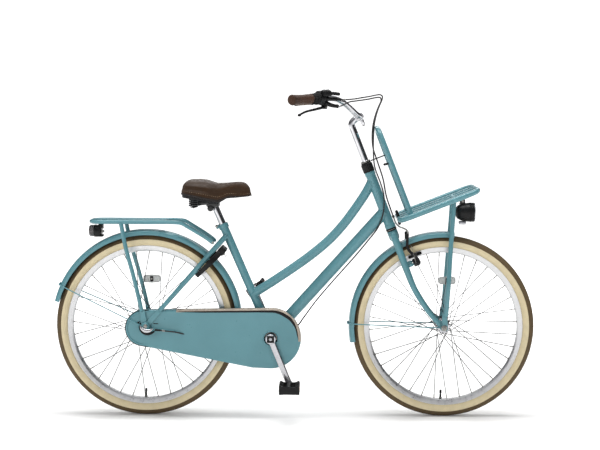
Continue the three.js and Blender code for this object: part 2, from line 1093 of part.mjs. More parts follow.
function saddleOutline(k) {
  const s = new THREE.Shape();
  s.moveTo(366 - k, 0);
  s.bezierCurveTo(366 - k, 24 - k, 350, 24 - k, 330, 24 - k);
  s.bezierCurveTo(280, 28 - k, 262, 52 - k, 232, 82 - k);
  s.bezierCurveTo(205, 108 - k, 150, 106 - k, 130 + k, 72);
  s.bezierCurveTo(122 + k, 50, 130 + k, 20, 132 + k, 0);
  s.bezierCurveTo(130 + k, -20, 122 + k, -50, 130 + k, -72);
  s.bezierCurveTo(150, -106 + k, 205, -108 + k, 232, -82 + k);
  s.bezierCurveTo(262, -52 + k, 280, -28 + k, 330, -24 + k);
  s.bezierCurveTo(350, -24 + k, 366 - k, -24 + k, 366 - k, 0);
  return s;
}
{
  const g = new THREE.ExtrudeGeometry(saddleOutline(8), {
    depth: 30,
    bevelEnabled: true,
    bevelThickness: 11,
    bevelSize: 12,
    bevelSegments: 2,
    curveSegments: 5,
  });
  g.translate(0, 0, 808.5);
  piece(saddle, "saddle_cover", solid(g), BROWN, 0.7, 0);
  const b = new THREE.ExtrudeGeometry(saddleOutline(20), {
    depth: 5,
    bevelEnabled: false,
    curveSegments: 4,
  });
  b.translate(0, 0, 791.2);
  piece(saddle, "saddle_base", solid(b), ...black);
}

// ---------- cranks and pedals (about the bottom bracket) ----------
piece(
  cranks,
  "crank_axle",
  rod(V(0, -63, 0), V(0, 63, 0), 8.6, undefined, 16),
  ...alloy,
);
const crankDir = (s) =>
  V(
    -s * Math.sin(CRANK_ANGLE),
    0,
    s * Math.cos(CRANK_ANGLE),
  );
function crank(s) {
  const d = crankDir(s);
  const end = d.clone().multiplyScalar(CRANK);
  const yIn = s * 71,
    yOut = s * 84;
  // a tapered arm, wider at the axle
  const len = CRANK;
  const arm = new THREE.ExtrudeGeometry(
    polygon([
      [0, -13],
      [len, -9.5],
      [len, 9.5],
      [0, 13],
    ]),
    { depth: 13, bevelEnabled: false },
  );
  const m = new THREE.Matrix4().makeBasis(
    d,
    new THREE.Vector3().crossVectors(V(0, s, 0), d),
    V(0, s, 0),
  );
  m.setPosition(0, yIn, 0);
  return cut(
    join(
      rod(V(0, s * 49.5, 0), V(0, yOut + s * 1.5, 0), 19, undefined, 20),
      placed(arm, m),
      rod(
        V(end.x, yIn, end.z),
        V(end.x, yOut, end.z),
        13,
        undefined,
        16,
      ),
      // pedal spindle screwed into the eye
      rod(
        V(end.x, yOut - s, end.z),
        V(end.x, s * 186, end.z),
        5,
        undefined,
        10,
      ),
    ),
    rod(V(0, s * 40, 0), V(0, s * 63.4, 0), 8.9, undefined, 16),
  );
}
piece(cranks, "right_crank", crank(-1), ...alloy);
piece(cranks, "left_crank", crank(1), ...alloy);
piece(
  cranks,
  "chainring",
  cut(
    rod(V(0, -47, 0), V(0, -43, 0), RING_R, undefined, 24),
    rod(V(0, -50, 0), V(0, -40, 0), 9, undefined, 12),
    [0, 1, 2, 3, 4].map((i) => {
      const a = rad(72 * i + 36);
      return rod(
        V(46 * Math.cos(a), -50, 46 * Math.sin(a)),
        V(46 * Math.cos(a), -40, 46 * Math.sin(a)),
        16,
        undefined,
        8,
      );
    }),
  ),
  ...alloy,
);
function pedal(s, tilt) {
  const end = crankDir(s).multiplyScalar(CRANK);
  const y0 = s * 92,
    y1 = s * 190;
  const mid = (y0 + y1) / 2;
  const local = join(
    rod(V(0, y0, 0), V(0, y1, 0), 10, undefined, 12),
    box(0, y0 + s * 4, 0, 74, 8, 24),
    box(0, y1 - s * 4, 0, 74, 8, 24),
    box(-30, mid, 0, 15, 98, 24),
    box(30, mid, 0, 15, 98, 24),
  );
  const bored = cut(
    local,
    rod(V(0, s * 80, 0), V(0, s * 186.6, 0), 5.5, undefined, 12),
  );
  const g = geometryOf(bored);
  return placed(
    g,
    new THREE.Matrix4()
      .makeTranslation(end.x, 0, end.z)
      .multiply(new THREE.Matrix4().makeRotationY(rad(tilt))),
  );
}
piece(cranks, "right_pedal", pedal(-1, 0), ...black);
piece(cranks, "left_pedal", pedal(1, -33), ...black);

// ---------- wheels (about their hubs) ----------
const TURNS = 32; // sides of the tyre and rim
function tyre() {
  const w = TYRE_W / 2;
  return turned(
    [
      [278, -10.3],
      [287, -12],
      [300, -w],
      [316, -19],
      [TYRE_R, -6],
      [TYRE_R, 6],
      [316, 19],
      [300, w],
      [287, 12],
      [278, 10.3],
      [278, 7.5],
      [288, 9.2],
      [302, 19.5],
      [318, 0],
      [302, -19.5],
      [288, -9.2],
      [278, -7.5],
    ],
    TURNS,
  );
}
function rim(valveAngle) {
  const a = rad(valveAngle);
  const at = (r) => V(r * Math.cos(a), 0, r * Math.sin(a));
  return join(
    turned(
      [
        [RIM_IN, -9],
        [RIM_IN, 9],
        [RIM_R, 14.6],
        [RIM_R, 12.7],
        [277, 11],
        [277, -11],
        [RIM_R, -12.7],
        [RIM_R, -14.6],
      ],
      TURNS,
    ),
    rod(at(267.5), at(234), 3.2, undefined, 6),
  );
}
// All spokes of a wheel, held together by a thin hoop where the nipples enter the rim.
function spokes(flangeR, flangeY, phase, valveAngle) {
  const va = rad(valveAngle);
  const hoop = cut(
    turned(
      [
        [263, -2.2],
        [RIM_IN - 0.4, -2.2],
        [RIM_IN - 0.4, 2.2],
        [263, 2.2],
      ],
      TURNS,
    ),
    rod(
      V(250 * Math.cos(va), 0, 250 * Math.sin(va)),
      V(275 * Math.cos(va), 0, 275 * Math.sin(va)),
      4.2,
      undefined,
      6,
    ),
  );
  const list = [hoop];
  for (let side = 0; side < 2; side++)
    for (let i = 0; i < SPOKES / 2; i++) {
      // heads sit outside and inside the flange in turn, so crossing spokes pass beside each other
      const lead = i % 2 === 0 ? 60 : -60;
      const hub = rad(i * 20 + side * 10 + phase);
      const end = rad(i * 20 + side * 10 + phase + lead);
      const s = side ? 1 : -1;
      const y = s * (flangeY + (lead > 0 ? 1.7 : -1.7));
      const r = flangeR + 1.8;
      list.push(
        rod(
          V(r * Math.cos(hub), y, r * Math.sin(hub)),
          V(264 * Math.cos(end), s * 0.4, 264 * Math.sin(end)),
          SPOKE_R,
          undefined,
          3,
        ),
      );
    }
  return join(list);
}
const reflector = (x, z) => box(x, -4.2, z, 62, 7, 30);

piece(rearWheel, "rear_tyre", tyre(), TREAD, 0.85, 0);
piece(rearWheel, "rear_rim", rim(-86.5), ...alloy);
piece(
  rearWheel,
  "rear_spokes",
  spokes(38, 28.5, REAR_SPOKE_PHASE, -86.5),
  ...chrome,
);
piece(
  rearWheel,
  "rear_hub",
  turned(
    [
      [5.6, -52],
      [15.4, -52],
      [15.4, -38],
      [24, -37],
      [27, -30.5],
      [38, -30],
      [38, -27],
      [31, -25],
      [31, 25],
      [38, 27],
      [38, 30],
      [27, 30.5],
      [22, 40],
      [18, 56],
      [5.6, 56],
    ],
    14,
  ),
  ...alloy,
);
piece(rearWheel, "rear_reflector", reflector(16, 165), CLEAR, 0.2, 0);
piece(
  rearWheel,
  "rear_sprocket",
  pipe(V(0, -47, 0), V(0, -43, 0), SPROCKET_R, 15.9, 24),
  ...alloy,
);

piece(frontWheel, "front_tyre", tyre(), TREAD, 0.85, 0);
piece(frontWheel, "front_rim", rim(-91.6), ...alloy);
piece(
  frontWheel,
  "front_spokes",
  spokes(24, 29.5, FRONT_SPOKE_PHASE, -91.6),
  ...chrome,
);
piece(
  frontWheel,
  "front_hub",
  turned(
    [
      [5.6, -47],
      [11, -47],
      [13, -34],
      [24, -31],
      [24, -28],
      [15.5, -25],
      [15.5, 25],
      [24, 28],
      [24, 31],
      [13, 34],
      [11, 47],
      [5.6, 47],
    ],
    14,
  ),
  ...alloy,
);
piece(frontWheel, "front_reflector", reflector(13, 164), CLEAR, 0.2, 0);

// ---------- fork ----------
const hubN = 49.9,
  hubU = -388.8;
const bladePath = (s) => [
  sp(0, -14, s * 30),
  sp(0, -30, s * 42),
  sp(0, -60, s * 46.5),
  sp(-1, -113, s * 49),
  sp(-1, -163, s * 51),
  sp(0, -216, s * 52),
  sp(8, -269, s * 53),
  sp(21.6, -325, s * 53),
  sp(38, -370, s * 52.8),
];
const blade = (s) =>
  bar(bladePath(s), 13, 9, 8, (t) => 13 - 5.2 * Math.max(0, t - 0.15));
const forkEnd = (s) =>
  cut(
    plate(
      polygon([
        sp(30, -352),
        sp(44, -356),
        sp(62, -380),
        sp(63, -398),
        sp(52, -404),
        sp(38, -396),
        sp(28, -372),
      ].map(([x, , z]) => [x, z])),
      s > 0 ? 50.3 : -55.3,
      s > 0 ? 55.3 : -50.3,
    ),
    rod(V(WHEELBASE, s * 40, TYRE_R), V(WHEELBASE, s * 70, TYRE_R), 5, undefined, 12),
  );
const brakeBoss = (s) =>
  rod(S(8, -137, s * 43), S(50, -137, s * 43), 4, undefined, 8);
piece(
  steering,
  "fork",
  cut(
    join(
      rod(S(0, -30), S(0, 262), STEERER_R, undefined, 14),
      rod(S(0, -18, -34), S(0, -18, 34), 15, undefined, 12),
      ...both((s) => blade(s)),
      ...both((s) => forkEnd(s)),
      ...both((s) => brakeBoss(s)),
    ),
    rod(S(0, 20), S(0, 300), 13.1, undefined, 14),
  ),
  ...paint,
);
piece(
  steering,
  "front_axle",
  join(
    rod(
      V(WHEELBASE, -74, TYRE_R),
      V(WHEELBASE, 74, TYRE_R),
      4.5,
      undefined,
      12,
    ),
    ...both((s) =>
      rod(
        V(WHEELBASE, s * 64.3, TYRE_R),
        V(WHEELBASE, s * 72, TYRE_R),
        8.5,
        undefined,
        6,
      ),
    ),
  ),
  ...alloy,
);

// ---------- stem and handlebar ----------
const CLAMP = V(759.4, 0, 1079.3);
const barGrip = V(-0.6537, 0, -0.0467); // outward direction, without its sideways part
const END = 305; // sideways distance where the grip's line starts
const BAR_FROM = 20; // the bar begins this far along it
const barAt = (s, side) =>
  V(
    512 + 0.6537 * s,
    side * (END - 0.7549 * s),
    1135 + 0.0467 * s,
  );
const ba = (s, side) => barAt(s, side).toArray();
const barHalf = (side) => [
  ba(BAR_FROM, side),
  ba(70, side),
  ba(140, side),
  ba(200, side),
  [674, side * 118, 1142],
  [699, side * 92, 1130.5],
  [722, side * 68, 1112.5],
  [743, side * 47, 1093],
  [756.5, side * 34, 1081.8],
];
const barPath = [
  ...barHalf(-1),
  [759.4, -22, 1079.3],
  [759.4, -8, 1079.3],
  [759.4, 8, 1079.3],
  [759.4, 22, 1079.3],
  ...barHalf(1).reverse(),
];
piece(steering, "handlebar", bar(barPath, BAR_R, 40, 10), ...chrome);
// What is clamped on the bar is bored with the same bar, a little thicker.
const barCut = bar(barPath, BAR_R + 0.5, 40, 10, null, bendTolerance(BAR_R));
piece(
  steering,
  "stem",
  cut(
    join(
      rod(S(0, 150), S(0, 404), 12.5, undefined, 14),
      rod(S(0, 402), S(36, 424), 12.5, undefined, 12),
      rod(S(0, 394), S(0, 410), 12.8, 9, 10),
      rod(CLAMP.clone().setY(-19), CLAMP.clone().setY(19), 16.5, undefined, 14),
      rod(S(41, 398, 0), S(41, 420, 0), 4, undefined, 6),
      rod(S(0, 404), S(0, 414), 5, undefined, 6),
    ),
    barCut,
  ),
  ...chrome,
);
function grip(side) {
  const profile = [
    [0, 16],
    [13, 16],
    [16.5, 19],
    [17.5, 30],
    [16.5, 70],
    [17.5, 112],
    [16, 121],
    [11.7, 121],
    [11.7, 19.5],
    [0, 19.5],
  ].map(([x, y]) => new THREE.Vector2(x, y));
  const a = barAt(0, side),
    b = barAt(1, side);
  const m = along(a, b);
  m.setPosition(a);
  return placed(new THREE.LatheGeometry(profile, 16), m);
}
piece(steering, "right_grip", grip(-1), BROWN, 0.65, 0);
piece(steering, "left_grip", grip(1), BROWN, 0.65, 0);
piece(
  steering,
  "twist_shifter",
  cut(
    join(
      rod(barAt(121.6, -1), barAt(146, -1), 18.5, undefined, 18),
      rod(barAt(140, -1), barAt(150, -1), 21, undefined, 18),
    ),
    // a round bore, so that the collar turns on the bar
    rod(barAt(112, -1), barAt(158, -1), 12, undefined, 18),
  ),
  ...black,
);
const up = V(0, 0, 1);
piece(
  steering,
  "shifter_housing",
  cut(
    join(
      rod(barAt(150.5, -1), barAt(176, -1), 21.5, undefined, 18),
      // display dome on top
      rod(
        barAt(155, -1).addScaledVector(up, 14),
        barAt(172, -1).addScaledVector(up, 14),
        15,
        undefined,
        14,
      ),
      // cable outlet
      rod(V(621, -178.2, 1164.2), V(683, -165.2, 1157.2), 4.5, 3.6, 10),
    ),
    barCut,
    rod(V(676, -166.8, 1157.9), V(690, -163, 1156.3), 2.9, undefined, 8),
  ),
  ...black,
);
// Brake lever, on a clamp just inboard of the shifter, hanging below the grip.
const outward = barAt(0, -1).sub(barAt(1, -1)).normalize();
const below = V(0, 0, -1).addScaledVector(outward, outward.z).normalize();
const leverAxis = new THREE.Vector3().crossVectors(outward, below);
const fromBar = (s, h) => barAt(s, -1).addScaledVector(below, h);
const leverAt = fromBar(187, 31);
const onLever = (a, p = leverAt) => p.clone().addScaledVector(leverAxis, a);
const neck = fromBar(187, 16.5);
piece(
  steering,
  "brake_lever_bracket",
  cut(
    join(
      rod(barAt(178, -1), barAt(196, -1), 14.5, undefined, 12),
      // two cheeks with the lever's pin between them
      ...both((s) =>
        join(
          rod(onLever(s * 4.7), onLever(s * 8.4), 7, undefined, 8),
          rod(onLever(s * 7), onLever(s * 7, barAt(187, -1)), 2.2, 3.4, 6),
        ),
      ),
      rod(onLever(-6), onLever(6), 2, undefined, 6),
      // cable adjuster
      rod(onLever(-8, neck), onLever(8, neck), 4.5, undefined, 6),
      rod(onLever(6, neck), V(684.5, -165, 1117), 4.5, 3.6, 8),
    ),
    barCut,
    rod(V(676, -166, 1118.5), V(690, -164.4, 1115.6), 2.9, undefined, 6),
  ),
  ...black,
);
piece(
  steering,
  "brake_lever",
  cut(
    join(
      rod(onLever(-4), onLever(4), 6, undefined, 10),
      bar(
        [
          [187, 31],
          [172, 32.5],
          [140, 37],
          [105, 43.5],
          [75, 48.5],
          [55, 50],
        ].map(([a, h]) => fromBar(a, h).toArray()),
        3.7,
        10,
        6,
      ),
    ),
    rod(onLever(-9), onLever(9), 2.8, undefined, 8),
  ),
  ...alloy,
);

// ---------- front brake ----------
// Two long arms on studs in front of the blades, with pads at the rim.
function brakeArm(s) {
  const n0 = 30.5,
    n1 = 54;
  const arm = new THREE.BoxGeometry(11, 9, 106);
  const m = new THREE.Matrix4().makeRotationY(-HEAD_LEAN);
  const place = m.clone();
  place.setPosition(S(49.5, -86, s * 46));
  const pad = S(46, -112, s * 20.5);
  return cut(
    join(
      rod(S(n0, -137, s * 43), S(n1, -137, s * 43), 10.5, undefined, 14),
      placed(arm, place),
      box(pad.x, s * 20.6, pad.z, 62, 8, 10, -rad(22.1)),
      rod(
        V(pad.x, s * 20, pad.z),
        V(pad.x, s * 46, pad.z),
        4,
        undefined,
        8,
      ),
    ),
    rod(S(n0 - 20, -137, s * 43), S(50.6, -137, s * 43), 4.3, undefined, 12),
  );
}
piece(steering, "right_brake_arm", brakeArm(-1), ...black);
piece(steering, "left_brake_arm", brakeArm(1), ...black);
piece(
  steering,
  "front_brake_cable",
  bar(
    [
      [685.8, -165, 1116.7],
      [724.3, -150, 1136.5],
      [777.4, -125, 1150.9],
      [812, -106, 1150.5],
      [826.5, -92, 1140],
      [830.2, -84, 1121.3],
      [819, -76, 1092.8],
      [808, -66, 1060.5],
      [802, -55, 1024.6],
      [806, -50, 994.1],
      [827.1, -46, 923.5],
      [846, -44, 859.7],
      [857, -45, 800],
      [871, -46, 757],
      [883, -48, 725],
      [892, -50, 702],
      [904, -52, 689],
      [920, -53.5, 683],
      [933, -52, 674],
      [938, -47.5, 662],
    ],
    2.4,
    40,
    5,
  ),
  ...black,
);

// ---------- front fender ----------
piece(
  steering,
  "front_fender",
  join(
    fender(WHEELBASE, TYRE_R, FRONT_FENDER_R, 83.6, 190.1),
    rod(S(0, -52), S(0, -34), 7, undefined, 10),
  ),
  ...paint,
);
piece(
  steering,
  "front_fender_stay",
  fenderStay(WHEELBASE, 57.8, FRONT_FENDER_R, 178.4, 6),
  ...paint,
);

// ---------- front carrier ----------
// A tilted platform square to the steering axis, a loop standing up behind it, and two legs to the axle.
const PLAT_U = 17.5; // platform height along the steering axis
const PLAT_N0 = 40,
  PLAT_N1 = 332,
  PLAT_Y = 150;
const platPath = [
  [PLAT_N0, 0],
  [PLAT_N0, -110],
  [PLAT_N0 + 8, -138],
  [PLAT_N0 + 32, -PLAT_Y],
  [(PLAT_N0 + PLAT_N1) / 2, -PLAT_Y],
  [PLAT_N1 - 40, -PLAT_Y],
  [PLAT_N1 - 10, -138],
  [PLAT_N1, -108],
  [PLAT_N1, 0],
];
const platLoop = [
  ...platPath,
  ...platPath
    .slice(0, -1)
    .reverse()
    .map(([n, y]) => [n, -y]),
].map(([n, y]) => sp(n, PLAT_U + 0, y));
piece(
  steering,
  "front_carrier",
  (() => {
    const PU = 33.5;
    const loop = [
      ...platPath,
      ...platPath
        .slice(0, -1)
        .reverse()
        .map(([n, y]) => [n, -y]),
    ].map(([n, y]) => sp(n, PU, y));
    const N0 = 82;
    return join(
      bar(loop, FRONT_CARRIER_R, 32, 7),
      // slats, fore and aft, on two cross bars that carry the back loop and the legs
      ...[-76, 0, 76].map((y) =>
        box(
          S(186, PU + 2, y).x,
          y,
          S(186, PU + 2, y).z,
          292,
          28,
          5,
          -HEAD_LEAN,
        ),
      ),
      rod(S(249, PU - 4.5, -PLAT_Y), S(249, PU - 4.5, PLAT_Y), 6, undefined, 6),
      rod(S(N0, PU - 4.5, -PLAT_Y), S(N0, PU - 4.5, PLAT_Y), 6, undefined, 6),
      // back loop
      bar(
        [
          sp(N0, PU, -112),
          sp(N0, 120, -111),
          sp(N0, 250, -108),
          sp(N0, 318, -103),
          sp(N0, 350, -84),
          sp(N0, 360, -50),
          sp(N0, 361.5, 0),
          sp(N0, 360, 50),
          sp(N0, 350, 84),
          sp(N0, 318, 103),
          sp(N0, 250, 108),
          sp(N0, 120, 111),
          sp(N0, PU, 112),
        ],
        FRONT_CARRIER_R,
        24,
        7,
      ),
      rod(S(N0, 247, -108), S(N0, 247, 108), 6, undefined, 6),
      // bracket from the cross bar to the clamp ring above the headset
      box(S(52, 262, 0).x, 0, S(52, 262, 0).z, 66, 18, 4, -HEAD_LEAN),
      box(S(80, 254, 0).x, 0, S(80, 254, 0).z, 6, 18, 18, -HEAD_LEAN),
      // legs
      ...both((s) =>
        join(
          bar(
            [
              [1101, s * 38, 791],
              [1097, s * 40, 720],
              [1092, s * 44, 650],
              [1086, s * 54, 560],
              [1081, s * 66, 480],
              [1073, s * 66, 372],
            ],
            8.5,
            5,
            7,
          ),
          cut(
            box(1069.5, s * 61.9, 348, 20, 3.4, 66, -0.07),
            rod(
              V(WHEELBASE, s * 50, TYRE_R),
              V(WHEELBASE, s * 80, TYRE_R),
              5.2,
              undefined,
              8,
            ),
          ),
        ),
      ),
    );
  })(),
  ...paint,
);
piece(
  steering,
  "headlight",
  join(
    placed(
      new THREE.LatheGeometry(
        [
          [0, -34],
          [16, -33],
          [27, -22],
          [33, 0],
          [34.5, 20],
          [34.5, 33],
          [31, 33],
          [31, 25],
          [0, 27],
        ].map(([x, y]) => new THREE.Vector2(x, y)),
        20,
      ),
      along(V(1112.5, 0, 738), V(1180.5, 0, 738)),
    ),
    box(1134, 0, 775, 18, 22, 20),
    box(1140, 0, 703, 28, 26, 10),
  ),
  ...black,
);

export default bicycle;
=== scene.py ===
import math

import bmesh
import bpy
import numpy as np
from mathutils import Matrix, Vector
from mathutils.geometry import tessellate_polygon


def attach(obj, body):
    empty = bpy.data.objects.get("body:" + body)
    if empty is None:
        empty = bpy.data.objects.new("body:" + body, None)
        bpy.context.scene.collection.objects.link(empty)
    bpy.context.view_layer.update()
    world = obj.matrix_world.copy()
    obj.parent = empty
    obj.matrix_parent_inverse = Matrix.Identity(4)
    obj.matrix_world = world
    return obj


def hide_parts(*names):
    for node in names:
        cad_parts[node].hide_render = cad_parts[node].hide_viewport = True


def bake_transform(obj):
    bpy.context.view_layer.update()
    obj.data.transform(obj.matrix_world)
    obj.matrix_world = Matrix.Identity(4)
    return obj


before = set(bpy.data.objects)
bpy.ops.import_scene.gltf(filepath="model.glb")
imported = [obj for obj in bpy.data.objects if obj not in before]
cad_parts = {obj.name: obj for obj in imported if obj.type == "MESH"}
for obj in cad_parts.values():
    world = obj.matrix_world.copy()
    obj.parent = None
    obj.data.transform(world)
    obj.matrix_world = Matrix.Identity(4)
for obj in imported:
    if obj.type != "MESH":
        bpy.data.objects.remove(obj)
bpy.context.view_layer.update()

# ------------------------------------------------------------------ camera
# Layout numbers below are millimetres: X forward from the rear axle's foot point, Y to the
# bicycle's left, Z up. The row frame's origin lies MID further forward.
MID = 530.5
scene = bpy.context.scene
camera_data = bpy.data.cameras.new("camera")
camera = bpy.data.objects.new("camera", camera_data)
scene.collection.objects.link(camera)
scene.camera = camera
camera_data.sensor_fit = "HORIZONTAL"
camera_data.sensor_width = 36.0
camera_data.lens = 85.544
camera_data.clip_start, camera_data.clip_end = 0.1, 100
camera_data.shift_x, camera_data.shift_y = -0.0467, -0.1
camera.location = (0.1185, -5.128, 1.098)
PITCH = math.radians(2.151)
ROLL = math.radians(0.3208)
camera.rotation_euler = (
    Matrix.Rotation(math.pi / 2 - PITCH, 3, "X") @ Matrix.Rotation(ROLL, 3, "Z")
).to_euler()

# ------------------------------------------------------------------ curves and outlines
rad = math.radians


def A(*p):
    return np.array(p, float)


def unit(v):
    v = np.asarray(v, float)
    return v / np.linalg.norm(v)


def resample(p, n, closed=False):
    p = np.asarray(p, float)
    if closed:
        p = np.vstack([p, p[:1]])
    d = np.concatenate([[0], np.cumsum(np.linalg.norm(np.diff(p, axis=0), axis=1))])
    at = np.linspace(0, d[-1], n + 1 if closed else n)
    out = np.stack([np.interp(at, d, p[:, k]) for k in range(p.shape[1])], 1)
    return out[:-1] if closed else out


def spline(points, n, closed=False):
    """Centripetal Catmull-Rom curve through the points, in n even steps."""
    p = np.array(points, float)
    if closed:
        q = np.vstack([p[-1:], p, p[:2]])
    else:
        q = np.vstack([2 * p[0] - p[1], p, 2 * p[-1] - p[-2]])
    out = []
    for k in range(1, len(q) - 2):
        p0, p1, p2, p3 = q[k - 1 : k + 3]
        t0 = 0.0
        t1 = t0 + max(np.linalg.norm(p1 - p0), 1e-9) ** 0.5
        t2 = t1 + max(np.linalg.norm(p2 - p1), 1e-9) ** 0.5
        t3 = t2 + max(np.linalg.norm(p3 - p2), 1e-9) ** 0.5
        t = np.linspace(t1, t2, 20, endpoint=False)[:, None]
        a1 = (t1 - t) / (t1 - t0) * p0 + (t - t0) / (t1 - t0) * p1
        a2 = (t2 - t) / (t2 - t1) * p1 + (t - t1) / (t2 - t1) * p2
        a3 = (t3 - t) / (t3 - t2) * p2 + (t - t2) / (t3 - t2) * p3
        b1 = (t2 - t) / (t2 - t0) * a1 + (t - t0) / (t2 - t0) * a2
        b2 = (t3 - t) / (t3 - t1) * a2 + (t - t1) / (t3 - t1) * a3
        out.append((t2 - t) / (t2 - t1) * b1 + (t - t1) / (t2 - t1) * b2)
    out = np.vstack(out + ([] if closed else [p[-1:]]))
    return resample(out, n, closed)


def fil(points, r, k=3, closed=False):
    """A 2D polyline with its corners rounded."""
    p = [A(*q) for q in points]
    n = len(p)
    out = []
    for i in range(n):
        if not closed and i in (0, n - 1):
            out.append(p[i])
            continue
        a, b, c = p[i - 1], p[i], p[(i + 1) % n]
        rr = r[i] if hasattr(r, "__len__") else r
        la, lc = np.linalg.norm(a - b), np.linalg.norm(c - b)
        t = min(rr, 0.46 * la, 0.46 * lc)
        if t < 1e-6:
            out.append(b)
            continue
        s, e = b + (a - b) / la * t, b + (c - b) / lc * t
        for j in range(k + 1):
            q = j / k
            out.append((1 - q) ** 2 * s + 2 * q * (1 - q) * b + q * q * e)
    return np.array(out)


def signed_area(p):
    x, y = p[:, 0], p[:, 1]
    return 0.5 * np.sum(x * np.roll(y, -1) - np.roll(x, -1) * y)


def inset(p, d):
    """A closed outline moved towards its left side by d."""
    a, b, c = np.roll(p, 1, 0), p, np.roll(p, -1, 0)
    e1, e2 = b - a, c - b
    e1 /= np.linalg.norm(e1, axis=1)[:, None] + 1e-12
    e2 /= np.linalg.norm(e2, axis=1)[:, None] + 1e-12
    n1 = np.stack([-e1[:, 1], e1[:, 0]], 1)
    n2 = np.stack([-e2[:, 1], e2[:, 0]], 1)
    m = n1 + n2
    m /= np.linalg.norm(m, axis=1)[:, None] + 1e-12
    k = 1 / np.clip((m * n1).sum(1), 0.4, 1)
    return b + m * (d * k)[:, None]


def circle(x, y, r, n=48, a0=0.0):
    a = np.arange(n) / n * 2 * math.pi + a0
    return np.stack([x + r * np.cos(a), y + r * np.sin(a)], 1)


def rect(x, y, sx, sy, r=1.0, k=4):
    return fil(
        [
            (x - sx / 2, y - sy / 2),
            (x + sx / 2, y - sy / 2),
            (x + sx / 2, y + sy / 2),
            (x - sx / 2, y + sy / 2),
        ],
        r,
        k,
        True,
    )


def belt(c0, r0, c1, r1, n=60):
    """Outline of a belt round two circles, counter-clockwise."""
    (x0, z0), (x1, z1) = c0, c1
    d = math.hypot(x1 - x0, z1 - z0)
    base = math.atan2(z1 - z0, x1 - x0)
    t = math.acos((r0 - r1) / d)
    pts = []
    for i in range(n + 1):
        a = base - t + 2 * t * i / n
        pts.append((x1 + r1 * math.cos(a), z1 + r1 * math.sin(a)))
    straight = 30
    for k in range(1, straight):
        a = base + t
        f = k / straight
        pts.append(
            (
                (x1 + r1 * math.cos(a)) * (1 - f) + (x0 + r0 * math.cos(a)) * f,
                (z1 + r1 * math.sin(a)) * (1 - f) + (z0 + r0 * math.sin(a)) * f,
            )
        )
    for i in range(n + 1):
        a = base + t + (2 * math.pi - 2 * t) * i / n
        pts.append((x0 + r0 * math.cos(a), z0 + r0 * math.sin(a)))
    for k in range(1, straight):
        a = base - t
        f = k / straight
        pts.append(
            (
                (x0 + r0 * math.cos(a)) * (1 - f) + (x1 + r1 * math.cos(a)) * f,
                (z0 + r0 * math.sin(a)) * (1 - f) + (z1 + r1 * math.sin(a)) * f,
            )
        )
    return np.array(pts)


def basis(z, ref=None):
    """Three axes, the third along z."""
    z = unit(z)
    if ref is None:
        ref = A(0, 0, 1) if abs(z[2]) < 0.9 else A(1, 0, 0)
    x = np.asarray(ref, float) - np.dot(ref, z) * z
    x = unit(x)
    return x, np.cross(z, x), z


